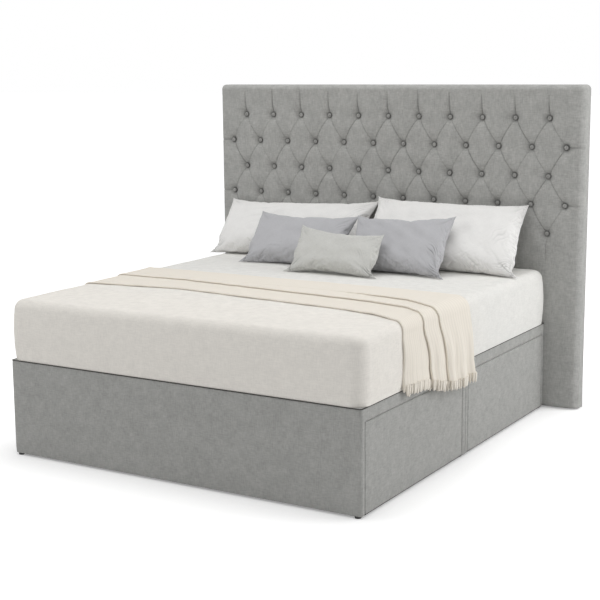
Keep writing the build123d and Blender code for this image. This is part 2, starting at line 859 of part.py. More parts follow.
def throw_layer(index, front):
    """One folded layer of the throw: flat over the mattress, round its edges, and down its sides."""
    lift = rest_clearance + index * throw_fold
    bend = mattress_top_edge + lift
    side_x = base_width / 2 + lift
    edge_z = mattress_top - mattress_top_edge
    left_y = bed_point(*front[0])[1]
    right_y = bed_point(*front[-1])[1]
    back_y = bed_point(0, throw_back_share)[1]
    back_right_y = bed_point(0, throw_back_right_share)[1]
    front_hem_y = bed_point(0, throw_right_hem_shares[index])[1]
    reaches_left = index < len(throw_left_hem_shares)
    top_points = [bed_point(*share) for share in front]
    top_points.append((top_points[-1][0], back_right_y))
    ends = [(1, right_y, back_right_y)]
    if reaches_left:
        top_points += [bed_point(0, throw_back_share), (top_points[0][0], back_y)]
        ends.append((-1, left_y, back_y))
    with BuildPart() as layer:
        with BuildSketch(Plane.XY.offset(mattress_top + lift)):
            with BuildLine():
                Polyline(*top_points, close=True)
            make_face()
        extrude(amount=throw_fold)
        for side, front_y, rear_y in ends:
            with BuildSketch(Plane.XZ.offset(-rear_y)):
                with Locations((side * (side_x - bend), edge_z)):
                    Circle(bend + throw_fold)
                    Circle(bend, mode=Mode.SUBTRACT)
                    Rectangle(
                        side_x,
                        side_x,
                        align=(Align.MIN if side > 0 else Align.MAX, Align.MIN),
                        mode=Mode.INTERSECT,
                    )
            extrude(amount=rear_y - front_y)
        with BuildSketch(Plane.YZ.offset(side_x)):
            with BuildLine():
                Polyline(
                    (right_y, edge_z),
                    (front_hem_y, throw_front_hem),
                    (back_right_y, throw_back_hem),
                    (back_right_y, edge_z),
                    close=True,
                )
            make_face()
        extrude(amount=throw_fold)
        if reaches_left:
            left_hem_y = bed_point(0, throw_left_hem_shares[index])[1]
            with BuildSketch(Plane.YZ.offset(-side_x)):
                with BuildLine():
                    Polyline(
                        (left_y, edge_z),
                        (left_hem_y, throw_left_hem),
                        (back_y, throw_left_hem),
                        (back_y, edge_z),
                        close=True,
                    )
                make_face()
            extrude(amount=-throw_fold)
    return layer.part


def build_throw():
    """A folded throw across the bed, each fold lying on the one before."""
    layers = [throw_layer(index, front) for index, front in enumerate(throw_front_shares)]
    with BuildPart() as throw:
        add(layers)
    save(throw, "throw")


build_timber()
build_base_cloths()
build_glides()
build_link_fixings()
build_runners()
for half_name, half_middle, half_outward in halves:
    build_end_boards(half_name, half_middle, half_outward)
    build_upholstery(half_name, half_middle, half_outward)
    for side_label, side_sign in sides:
        build_drawer(half_name, half_middle, side_label, side_sign)
build_headboard_pad()
build_headboard_frame()
build_buttons()
build_headboard_fixings()
build_mattress()
build_bedding()
build_throw()
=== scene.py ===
"""A made-up super-king divan bed, dressed over its packed frame.

Lengths are metres in the frame's own axes: +X to the bed's right seen from its foot, +Y towards the
headboard and +Z up, with the origin on the floor under the middle of the bed.
"""

import json
from math import cos, pi, radians, sin

import bpy
import numpy as np
from bpy.props import FloatProperty, FloatVectorProperty, IntProperty, PointerProperty
from mathutils import Euler, Matrix, Vector


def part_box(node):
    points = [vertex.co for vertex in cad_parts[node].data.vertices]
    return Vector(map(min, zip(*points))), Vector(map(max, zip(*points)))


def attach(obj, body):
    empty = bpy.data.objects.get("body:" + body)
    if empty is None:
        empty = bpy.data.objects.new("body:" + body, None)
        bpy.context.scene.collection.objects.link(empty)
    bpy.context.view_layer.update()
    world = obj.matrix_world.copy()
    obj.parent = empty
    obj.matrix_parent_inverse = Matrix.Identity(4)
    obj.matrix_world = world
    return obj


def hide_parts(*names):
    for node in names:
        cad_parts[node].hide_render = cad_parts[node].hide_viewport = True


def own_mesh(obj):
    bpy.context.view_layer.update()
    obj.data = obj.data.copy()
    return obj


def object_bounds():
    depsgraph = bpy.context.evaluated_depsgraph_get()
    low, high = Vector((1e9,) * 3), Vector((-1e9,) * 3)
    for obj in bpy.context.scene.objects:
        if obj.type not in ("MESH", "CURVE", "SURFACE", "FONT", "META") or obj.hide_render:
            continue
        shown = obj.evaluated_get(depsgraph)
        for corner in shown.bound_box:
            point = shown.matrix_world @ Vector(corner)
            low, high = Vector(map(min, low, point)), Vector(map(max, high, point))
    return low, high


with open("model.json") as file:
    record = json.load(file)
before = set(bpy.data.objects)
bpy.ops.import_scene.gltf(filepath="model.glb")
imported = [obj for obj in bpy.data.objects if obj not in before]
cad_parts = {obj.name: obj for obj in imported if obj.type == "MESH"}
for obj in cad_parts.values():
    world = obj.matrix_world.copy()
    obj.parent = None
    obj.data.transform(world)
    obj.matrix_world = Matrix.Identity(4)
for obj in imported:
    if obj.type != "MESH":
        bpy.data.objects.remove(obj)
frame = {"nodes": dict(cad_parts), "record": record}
cad_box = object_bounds()

bl_info = {
    "name": "Divan bed",
    "version": (1, 0, 0),
    "blender": (4, 5, 0),
    "location": "View3D > Sidebar > Divan bed",
    "description": "A buttoned divan bed with its mattress, pillows, cushions and throw",
    "category": "Add Mesh",
}

MM = 0.001
SIDES = (("left", -1), ("right", 1))
HALVES = ("foot", "head")


def linear(code):
    """An sRGB hex code such as #a0a0a0 as linear red, green and blue."""
    shares = [int(code[i : i + 2], 16) / 255 for i in (1, 3, 5)]
    return tuple(s / 12.92 if s <= 0.04045 else ((s + 0.055) / 1.055) ** 2.4 for s in shares)


def size_setting(name, description, millimetres):
    """A length that a user may change, given in millimetres and kept in metres."""
    return FloatProperty(
        name=name, description=description, default=millimetres * MM, precision=4, unit="LENGTH"
    )


def colour_setting(name, description, code):
    """A colour that a user may change, given as an sRGB hex code."""
    return FloatVectorProperty(
        name=name, description=description, default=linear(code), min=0, max=1, subtype="COLOR"
    )


def angle_setting(name, description, degrees):
    """An angle that a user may change, given in degrees and kept in radians."""
    return FloatProperty(name=name, description=description, default=radians(degrees), subtype="ANGLE")


class BaseSettings(bpy.types.PropertyGroup):
    """Sizes and colour of the upholstered base."""

    cloth: size_setting("Cloth", "Thickness of the cloth and card skin", 4)
    edge_drop: size_setting("Edge drop", "How far the padding falls away at an edge or seam", 2.6)
    edge_reach: size_setting("Edge reach", "Distance over which an edge's fall eases out", 9)
    drawer_roll: size_setting("Drawer roll", "Radius of the drawer fronts' soft edges", 6)
    ripple: size_setting("Ripple", "Height of the cloth's slow unevenness", 0.7)
    colour: colour_setting("Colour", "Grey of the base's woven cloth", "#acaca9")


class HeadboardSettings(bpy.types.PropertyGroup):
    """Sizes and colour of the buttoned headboard."""

    columns: IntProperty(name="Columns", description="Buttons in a long row", default=12, min=2)
    rows: IntProperty(name="Rows", description="Rows of buttons", default=5, min=2)
    row_pitch: size_setting("Row pitch", "Height from one row of buttons to the next", 146)
    top_drop: size_setting("Top drop", "Height from the top row to the headboard's top", 166)
    corner: size_setting("Corner", "Radius of the corners seen from the front", 26)
    roll: size_setting("Roll", "How far in from its edges the front starts to roll", 25)
    roll_depth: size_setting("Roll depth", "How far back that soft roll runs", 34)
    pleat: size_setting("Pleat", "Depth of the soft hollow along a pleat", 4.5)
    pleat_reach: size_setting("Pleat reach", "Distance over which a pleat's hollow eases out", 13)
    tuck: size_setting("Tuck", "Depth of the sharp tuck at the bottom of a pleat", 6)
    dimple: size_setting("Dimple", "Steepness of the dimple where a button is pulled in", 34)
    dimple_reach: size_setting("Dimple reach", "Distance over which a dimple eases out", 21)
    deepest: size_setting("Deepest", "Depth of the cover under a button", 22)
    crown: size_setting("Crown", "How far the padding stands out between the pleats", 3)
    edge_fall: size_setting("Edge fall", "How far the padding falls away towards the sides", 26)
    edge_reach: size_setting("Edge reach", "Distance over which that fall eases out", 50)
    button: size_setting("Button", "Diameter of a covered button", 25)
    colour: colour_setting("Colour", "Grey of the headboard's woven cloth", "#b1b1ae")


class MattressSettings(bpy.types.PropertyGroup):
    """Sizes and colours of the mattress and its fitted sheet."""

    corner: size_setting("Corner", "Radius of the mattress's upright corners", 62)
    top_edge: size_setting("Top edge", "Radius of the mattress's top edge", 46)
    bottom_edge: size_setting("Bottom edge", "Radius of the mattress's bottom edge", 4)
    hem: size_setting("Hem", "How far the sheet turns in under the mattress", 74)
    side_swell: size_setting("Side swell", "How far the sides bulge at their middle", 7)
    crumple: size_setting("Crumple", "Height of the sheet's slow unevenness", 1.4)
    sheet_cloth: size_setting("Sheet cloth", "Thickness of the sheet", 1.2)
    # the sheet turns from its foot colour to its head colour along the bed as painted light: warmer
    # where the foot lies in shade, cooler where the top near the head is lit
    sheet_colour: colour_setting("Sheet colour", "Off-white of the sheet at its foot", "#f1ede6")
    head_painted_light_colour: colour_setting("Head colour", "Off-white of the sheet at its head", "#ebeae6")


class BeddingSettings(bpy.types.PropertyGroup):
    """Sizes and colours of the pillows and cushions."""

    cell: size_setting("Cell", "Spacing of the cloth's points while it is filled", 9)
    start_share: FloatProperty(
        name="Start share", description="Thickness before filling, as a share of the full", default=0.6
    )
    pressure: FloatProperty(name="Pressure", description="How hard the filling pushes", default=2.0)
    frames: IntProperty(name="Frames", description="Steps of the filling", default=19, min=2)
    left_lean: angle_setting("Left lean", "Lean of the left pillow and of the right cushion", 44)
    right_lean: angle_setting("Right lean", "Lean of the right pillow and of the left cushion", 42)
    small_lean: angle_setting("Small lean", "Lean of the small cushion", 46)
    pillow_colour: colour_setting("Pillow colour", "White of the crumpled cotton", "#f0efed")
    cushion_colour: colour_setting("Cushion colour", "Lavender grey of the cushions", "#bdbdc0")
    small_colour: colour_setting("Small cushion colour", "Pale grey of the small cushion", "#cfcfcb")


class ThrowSettings(bpy.types.PropertyGroup):
    """Sizes and colour of the folded throw."""

    cloth: size_setting("Cloth", "Thickness of the throw's cloth", 2)
    ply: size_setting("Ply", "Height from one layer of cloth to the next", 3.2)
    plump: size_setting("Plump", "Extra height of a soft fold", 2.4)
    rib: size_setting("Rib", "Spacing of the fine ribs", 13)
    ripple: size_setting("Ripple", "Depth of the soft folds at the hanging hem", 19)
    flute: size_setting("Flute", "Depth of the narrow upright folds at the hanging hem", 2.2)
    flute_pitch: size_setting("Flute pitch", "Spacing of the narrow upright folds", 46)
    hem_rise: size_setting("Hem rise", "How much higher the right hem hangs at its front", 71)
    fringe: size_setting("Fringe", "Length of the fringe", 42)
    strand: size_setting("Strand", "Breadth of one strand of the fringe", 17)
    strand_pitch: size_setting("Strand pitch", "Spacing of the fringe's strands", 16)
    colour: colour_setting("Colour", "Cream of the throw's wool", "#efe8dc")


class StageSettings(bpy.types.PropertyGroup):
    """Camera, lamps and floor."""

    camera_place: FloatVectorProperty(
        name="Camera place", description="Where the camera stands",
        default=(3.27539, -5.40732, 1.77654), subtype="TRANSLATION", unit="LENGTH",
    )
    camera_yaw: angle_setting("Camera yaw", "Turn of the view to the left of straight ahead", 31.116)
    camera_pitch: angle_setting("Camera pitch", "How far the view looks down", 10.186)
    camera_roll: angle_setting("Camera roll", "Turn of the view about its own line", -0.536)
    lens: FloatProperty(name="Lens", description="Focal length on a 36 mm frame", default=79.0)
    side_power: FloatProperty(name="Side power", description="Watts of the right lamp", default=87)
    front_power: FloatProperty(name="Front power", description="Watts of the left lamp", default=43)
    top_power: FloatProperty(name="Top power", description="Watts of the upper lamp", default=80)
    sky: FloatProperty(name="Sky", description="Strength of the even light all round", default=0.45)
    near_lift: FloatProperty(
        name="Near lift", description="White that the camera adds to the floor by the bed", default=0.3
    )
    far_lift: FloatProperty(
        name="Far lift", description="White that the camera adds to the floor far off", default=0.65
    )


SETTINGS = {
    "divan_base": BaseSettings,
    "divan_headboard": HeadboardSettings,
    "divan_mattress": MattressSettings,
    "divan_bedding": BeddingSettings,
    "divan_throw": ThrowSettings,
    "divan_stage": StageSettings,
}


def box_of(node):
    """Lowest and highest corner of a packed node, as arrays."""
    low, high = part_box(node)
    return np.array(low), np.array(high)


def ease(value, start, end):
    """Smooth step from 0 at start to 1 at end."""
    share = np.clip((value - start) / (end - start), 0, 1)
    return share * share * (3 - 2 * share)


def drift(a, b, size, seed):
    """Slow unevenness from about -1 to 1: seven seeded sine waves of like length, each its own way."""
    chance = np.random.default_rng(seed)
    total = np.zeros(np.broadcast(a, b).shape)
    for turn, phase, stretch in zip(*chance.uniform((0, 0, 0.6), (2 * pi, 2 * pi, 1.7), (7, 3)).T):
        total += np.sin(2 * pi * stretch * (a * cos(turn) + b * sin(turn)) / size + phase)
    return total / 3


def grid_faces(rows, columns, wrap=False):
    """Quads over a grid of points kept row by row. With wrap, the last column joins the first."""
    i, j = np.meshgrid(np.arange(rows - 1), np.arange(columns - (not wrap)), indexing="ij")
    right = (j + 1) % columns
    corners = [i * columns + j, i * columns + right, (i + 1) * columns + right, (i + 1) * columns + j]
    return np.stack(corners, axis=-1).reshape(-1, 4)


def rim(rows, columns):
    """The boundary of a grid of points as one loop of their numbers."""
    ids = np.arange(rows * columns).reshape(rows, columns)
    return np.concatenate([ids[:-1, 0], ids[-1, :-1], ids[:0:-1, -1], ids[0, :0:-1]])


def face_outwards(points, faces):
    """A closed mesh's faces, all turned round if its signed volume says that they point inwards."""
    volume = 0.0
    for group in faces:
        first = points[group[:, 0]]
        for k in range(1, group.shape[1] - 1):
            crossed = np.cross(points[group[:, k]], points[group[:, k + 1]])
            volume += (first * crossed).sum()
    return faces if volume > 0 else [group[:, ::-1] for group in faces]


def mesh_piece(name, points, faces, material, cloth_map=None, painted_shade=None):
    """A smooth-shaded object from points and groups of faces. The map gives each point its place, in
    metres, on the flat cloth, and the last array gives, from 0 to 1, how much painted shade darkens
    it."""
    mesh = bpy.data.meshes.new(name)
    mesh.vertices.add(len(points))
    mesh.vertices.foreach_set("co", np.asarray(points, np.float32).ravel())
    corners = np.concatenate([group.ravel() for group in faces]).astype(np.int32)
    counts = np.concatenate([np.full(len(group), group.shape[1]) for group in faces])
    mesh.loops.add(len(corners))
    mesh.loops.foreach_set("vertex_index", corners)
    mesh.polygons.add(len(counts))
    starts = np.concatenate([[0], np.cumsum(counts)[:-1]]).astype(np.int32)
    mesh.polygons.foreach_set("loop_start", starts)
    mesh.update(calc_edges=True)
    if cloth_map is not None:
        layer = mesh.uv_layers.new(name="cloth")
        layer.data.foreach_set("uv", cloth_map[corners].astype(np.float32).ravel())
    if painted_shade is not None:
        mesh.attributes.new("painted_shade", "FLOAT", "POINT").data.foreach_set(
            "value", np.asarray(painted_shade, np.float32).ravel()
        )
    mesh.shade_smooth()
    mesh.materials.append(material)
    piece = bpy.data.objects.new(name, mesh)
    bpy.context.scene.collection.objects.link(piece)
    return piece


def thicken(piece, thickness, offset):
    """Gives a sheet its thickness. Offset -1 puts it all behind the faces, and 0 half each side."""
    solid = piece.modifiers.new("thickness", "SOLIDIFY")
    solid.thickness = thickness
    solid.offset = offset


def rolled_grid(across, up, profile, foot_squareness=0):
    """A panel's grid: a flat middle with rings round it, as (place across, place up, depth, ring).

    The profile is one (out, deep) pair for each ring. Beside the middle, a ring's points stand
    straight out from it. Past a corner they lie on a quarter circle, at 45 degrees times the smaller
    of the two ring counts over the larger, so the rings close round the corner. The two lower
    corners' circles are stretched towards a square by the larger of sine and cosine.
    """
    rings = len(profile)
    out, deep = np.concatenate([[(0, 0)], profile]).T
    beyond = np.arange(1, rings + 1)
    steps_across = np.concatenate([-beyond[::-1], np.zeros(len(across), int), beyond])
    steps_up = np.concatenate([-beyond[::-1], np.zeros(len(up), int), beyond])
    base_across = np.concatenate([np.full(rings, across[0]), across, np.full(rings, across[-1])])
    base_up = np.concatenate([np.full(rings, up[0]), up, np.full(rings, up[-1])])
    i, j = np.meshgrid(steps_across, steps_up, indexing="ij")
    x, z = np.meshgrid(base_across, base_up, indexing="ij")
    ring = np.maximum(abs(i), abs(j))
    small_share = np.minimum(abs(i), abs(j)) / np.maximum(ring, 1)
    angle = np.where(abs(j) <= abs(i), small_share, 2 - small_share) * pi / 4
    stretch = np.maximum(np.cos(angle), np.sin(angle)) ** np.where(j < 0, -foot_squareness, 0)
    x = x + np.sign(i) * out[ring] * stretch * np.cos(angle)
    z = z + np.sign(j) * out[ring] * stretch * np.sin(angle)
    return x, z, deep[ring], ring


def quarter_roll(start_out, start_deep, radius, steps):
    """Profile points round a soft edge: a quarter circle from facing forwards to facing outwards."""
    turn = np.linspace(0, pi / 2, steps + 1)[1:]
    return [(start_out + radius * sin(t), start_deep + radius * (1 - cos(t))) for t in turn]


def add_node(tree, kind, inputs=None, stops=(), **settings):
    """Adds a node, sets it, and fills its inputs with values or with other nodes' outputs. A ramp
    also gets its stops, as (place, colour)."""
    node = tree.nodes.new(kind)
    for key, value in settings.items():
        setattr(node, key, value)
    for number, (place, colour) in enumerate(stops):
        if number > 1:
            node.color_ramp.elements.new(place)
        node.color_ramp.elements[number].position = place
        node.color_ramp.elements[number].color = (*colour[:3], 1)
    for key, value in (inputs or {}).items():
        if isinstance(value, bpy.types.NodeSocket):
            tree.links.new(value, node.inputs[key])
        else:
            node.inputs[key].default_value = value
    return node


def new_material(name):
    """An empty material and its node tree."""
    material = bpy.data.materials.new(name)
    material.use_nodes = True
    material.node_tree.nodes.clear()
    return material, material.node_tree


def finish_material(tree, tint, height, strength, depth, finish):
    """Ends a material with a shader that takes the tint, the relief of a height pattern that is
    depth high, and the finish's own inputs."""
    relief = {"Height": height, "Strength": strength, "Distance": depth}
    bump = add_node(tree, "ShaderNodeBump", relief)
    inputs = {"Base Color": tint, "Normal": bump.outputs[0], **finish}
    shader = add_node(tree, "ShaderNodeBsdfPrincipled", inputs)
    add_node(tree, "ShaderNodeOutputMaterial", {"Surface": shader.outputs[0]})


def grey(value):
    """An even shade from black at 0 to white at 1."""
    return (value, value, value, 1)


def shaded(colour, share):
    """A linear colour made darker or lighter by a share."""
    return tuple(min(1, part * share) for part in colour)


def grain_pattern(tree, place, stretch, grain, detail=2.0):
    """A pattern whose grains are as long as a real size, in metres, along each axis of the stretch."""
    mapping = add_node(
        tree, "ShaderNodeMapping", {"Vector": place, "Scale": [grain / size for size in stretch]}
    )
    noise = add_node(
        tree, "ShaderNodeTexNoise",
        {"Vector": mapping.outputs[0], "Scale": 1 / grain, "Detail": detail, "Roughness": 0.55},
    )
    return noise.outputs["Fac"]


def woven_cloth(
    name, colour, warp, weft, thread, contrast, mottle, cloudy, depth, sheen, on_map=False, head=None
):
    """A matt woven cloth. Warp and weft give, for each axis, how long a slub is along it, and thread
    is their spacing. Contrast is the slubs' change of tone, mottle and cloudy are the size and the
    change of tone of the dye's clouds, and depth is the height of the weave. Head is the colour that
    the cloth turns to along the bed, as painted light, and each point's painted shade darkens it."""
    material, tree = new_material(name)
    place = add_node(tree, "ShaderNodeTexCoord").outputs["UV" if on_map else "Object"]
    slubs = [grain_pattern(tree, place, run, thread) for run in (warp, weft)]
    weave = add_node(tree, "ShaderNodeMath", dict(enumerate(slubs)), operation="ADD").outputs[0]
    half_weave = add_node(tree, "ShaderNodeMath", {0: weave, 1: 0.5}, operation="MULTIPLY")
    tint = add_node(
        tree, "ShaderNodeValToRGB", {"Fac": half_weave.outputs[0]},
        stops=[(0.36, shaded(colour, 1 - contrast)), (0.64, shaded(colour, 1 + contrast))],
    ).outputs[0]
    clouds = grain_pattern(tree, place, (mottle, mottle, mottle), mottle, 3.0)
    # painted shade: the cloth darkens where its points lie in creases, tucks and dimples
    painted_shade = add_node(tree, "ShaderNodeAttribute", attribute_name="painted_shade").outputs["Fac"]
    shades = [
        (clouds, [(0.32, grey(1 - cloudy)), (0.68, grey(1.0))]),
        (painted_shade, [(0.0, grey(1.0)), (1.0, grey(0.45))]),
    ]
    # painted light: towards the head the colour turns to head, in place of the warmer shade at the
    # foot and the cooler light nearer the head
    if head is not None:
        apart = add_node(tree, "ShaderNodeSeparateXYZ", {0: place})
        painted_light_headwards = add_node(
            tree, "ShaderNodeMapRange",
            {"Value": apart.outputs["Y"], "From Min": -0.7, "From Max": 0.2},
        ).outputs[0]
        change = [end / start for start, end in zip(colour, head)]
        shades.append((painted_light_headwards, [(0.0, grey(1.0)), (1.0, change)]))
    for amount, stops in shades:
        shade = add_node(tree, "ShaderNodeValToRGB", {"Fac": amount}, stops=stops)
        tint = add_node(
            tree, "ShaderNodeMix", {"Factor": 1.0, 6: tint, 7: shade.outputs[0]},
            data_type="RGBA", blend_type="MULTIPLY",
        ).outputs[2]
    finish = {
        "Roughness": 0.92, "Specular IOR Level": 0.25,
        "Sheen Weight": sheen, "Sheen Roughness": 0.5,
    }
    finish_material(tree, tint, weave, 0.6, depth, finish)
    return material


def grey_upholstery(name, colour):
    """Flat-woven chenille-look polyester: matt, with a fine two-tone melange that reads as short
    upright and level slubs. Its 0.8 mm threads are drawn 5 mm apart, so that they show."""
    return woven_cloth(
        name, colour,
        warp=(5 * MM, 5 * MM, 26 * MM), weft=(26 * MM, 26 * MM, 5 * MM),
        thread=5 * MM, contrast=0.13, mottle=44 * MM, cloudy=0.12, depth=0.5 * MM, sheen=0.1,
    )


def smooth_cotton(name, colour, head):
    """Cotton and linen union: smooth, finely woven, with the slight slubs and clouds that linen
    gives. Its 0.4 mm threads are drawn 4 mm apart, so that they just show."""
    return woven_cloth(
        name, colour,
        warp=(4 * MM, 4 * MM, 30 * MM), weft=(30 * MM, 30 * MM, 4 * MM),
        thread=4 * MM, contrast=0.05, mottle=45 * MM, cloudy=0.04, depth=0.15 * MM, sheen=0.06,
        head=head,
    )


def case_cloth(name, colour, contrast, depth, sheen):
    """A pillow or cushion case's plain weave, laid on the case's own flat map, with threads drawn
    2 mm apart so that they just show."""
    return woven_cloth(
        name, colour,
        warp=(2 * MM, 16 * MM, 1), weft=(16 * MM, 2 * MM, 1),
        thread=2 * MM, contrast=contrast, mottle=40 * MM, cloudy=contrast, depth=depth,
        sheen=sheen, on_map=True,
    )


def ribbed_wool(name, colour, rib):
    """Fine ribbed wool: soft ridges across the throw, felted by washing, with a light nap that gives
    a soft sheen. Its 4 mm ribs are drawn 13 mm apart, so that they show."""
    material, tree = new_material(name)
    place = add_node(tree, "ShaderNodeTexCoord").outputs["UV"]
    wave_period = 2 * pi / 20
    ribs = add_node(
        tree, "ShaderNodeTexWave",
        {"Vector": place, "Scale": wave_period / rib, "Distortion": 0.6, "Detail": 1.0},
        bands_direction="Y",
    ).outputs["Fac"]
    nap = grain_pattern(tree, place, (6 * MM, 3 * MM, 1), 3 * MM)
    height = add_node(
        tree, "ShaderNodeMath", {0: nap, 1: 0.35, 2: ribs}, operation="MULTIPLY_ADD"
    ).outputs[0]
    # the tone follows the nap's random grain and is a little darker in the ribs' hollows, as painted
    # shade
    tint = add_node(
        tree, "ShaderNodeValToRGB", {"Fac": height},
        stops=[(0.1, shaded(colour, 0.95)), (0.9, shaded(colour, 1.01))],
    ).outputs[0]
    finish = {
        "Roughness": 0.95, "Specular IOR Level": 0.2,
        "Sheen Weight": 0.15, "Sheen Roughness": 0.6,
    }
    finish_material(tree, tint, height, 0.4, 1.2 * MM, finish)
    return material


def grained(name, dark, light, stretch, grain, roughness, depth, metallic):
    """A surface whose tone runs between two colours with a stretched grain of real size."""
    material, tree = new_material(name)
    place = add_node(tree, "ShaderNodeTexCoord").outputs["Object"]
    fibres = grain_pattern(tree, place, [length * MM for length in stretch], grain * MM, 4.0)
    tint = add_node(
        tree, "ShaderNodeValToRGB", {"Fac": fibres},
        stops=[(0.3, linear(dark)), (0.7, linear(light))],
    ).outputs[0]
    finish = {"Roughness": roughness, "Metallic": metallic}
    finish_material(tree, tint, fibres, 0.4, depth * MM, finish)
    return material


# The finish of each slot whose packed pieces keep their own shape: its name, its dark and light
# tone, its grain's length along each axis and its grain's width in millimetres, its roughness, the
# depth of its grain in millimetres and how metallic it is.
INNER_FINISHES = {
    # Raw particle board: pressed chips a few millimetres wide, matt and unfinished
    "board": ("raw_particle_board", "#b3925f", "#d2b27f", (4, 4, 4), 4, 0.85, 0.2, 0.0),
    # Planed spruce: straight pale grain with darker summer wood, unfinished
    "timber": ("planed_spruce", "#c9a873", "#e3c998", (60, 90, 5), 5, 0.7, 0.1, 0.0),
    # Foil-wrapped drawer board: smooth white paper foil with a slight pressed grain
    "drawer_board": ("white_foil_board", "#e2e0da", "#eeece6", (50, 50, 3), 3, 0.45, 0.05, 0.0),
    # Spun-bonded polypropylene: thin black fleece, matt and finely uneven
    "deck_cloth": ("spun_fleece", "#3a3937", "#4c4b48", (2, 2, 2), 2, 0.95, 0.2, 0.0),
    # Moulded nylon: even near-black with a faint satin from the tool
    "runner_plastic": ("moulded_nylon", "#1d1d1d", "#262626", (8, 8, 8), 8, 0.45, 0.05, 0.0),
    # Bright zinc plate on pressed steel: cool grey, softly brushed along its length
    "zinc_steel": ("zinc_plated_steel", "#a9abab", "#c4c6c6", (20, 2, 2), 2, 0.38, 0.02, 1.0),
    # Cut polyurethane foam: open cells of about a millimetre, yellowed cream
    "foam": ("cut_foam", "#d8cba4", "#e8ddbb", (1.5, 1.5, 1.5), 1.5, 1.0, 0.4, 0.0),
    # Mattress ticking: cream woven cloth with a faint mottle
    "ticking": ("woven_ticking", "#d8d2c4", "#e6e1d6", (10, 10, 2), 2, 0.9, 0.2, 0.0),
}


class BED_OT_inner_finishes(bpy.types.Operator):
    """Give every packed piece that keeps its own shape the finish of its slot"""

    bl_idname = "bed.inner_finishes"
    bl_label = "Finish the frame's pieces"

    def execute(self, context):
        materials = {slot: grained(*finish) for slot, finish in INNER_FINISHES.items()}
        colour = context.scene.divan_base.colour
        materials["base_fabric"] = grey_upholstery("base_cloth", colour)
        for subpart in frame["record"]["subparts"]:
            if subpart["material_slot"] in materials:
                mesh = frame["nodes"][subpart["node"]].data
                mesh.materials.clear()
                mesh.materials.append(materials[subpart["material_slot"]])
        return {"FINISHED"}


def skin_path(low, high, corner, outward, step):
    """Points and outward normals along a half's outline, anticlockwise from the middle of its outer
    end, with its two outer corners rounded as quarter circles."""
    half_width = high[0]
    outer, inner = (low[1], high[1]) if outward < 0 else (high[1], low[1])
    reach = abs(outer - inner)
    straight = np.linspace(0, half_width - corner, int((half_width - corner) / step) + 1)
    turn = np.linspace(0, pi / 2, 7)[1:]
    down = np.linspace(corner, reach, int((reach - corner) / step) + 1)[1:]
    across = np.linspace(half_width, 0, int(half_width / (4 * step)) + 1)[1:]
    ones = [np.ones(len(part)) for part in (straight, turn, down, across)]
    x = [straight, half_width - corner * (1 - np.sin(turn)), half_width * ones[2], across]
    y = [0 * ones[0], corner * (1 - np.cos(turn)), down, reach * ones[3]]
    normal_x = [0 * ones[0], np.sin(turn), ones[2], 0 * ones[3]]
    normal_y = [-ones[0], -np.cos(turn), 0 * ones[2], ones[3]]
    x, y, normal_x, normal_y = map(np.concatenate, (x, y, normal_x, normal_y))
    # the left side mirrors the right one
    x, normal_x = (np.concatenate([part, -part[-2:0:-1]]) for part in (x, normal_x))
    y, normal_y = (np.concatenate([part, part[-2:0:-1]]) for part in (y, normal_y))
    return x, outer - outward * y, normal_x, -outward * normal_y


def padding(settings, a, b, nearest, share, seed):
    """How far padded cloth stands out from its flat: a share of the edge drop times
    -exp(-distance / reach) at the nearest edge, and the slow ripple that grows away from it."""
    edge = -settings.edge_drop * share * np.exp(-nearest / settings.edge_reach)
    return edge + settings.ripple * drift(a, b, 0.3, seed) * (1 - np.exp(-nearest / (30 * MM)))


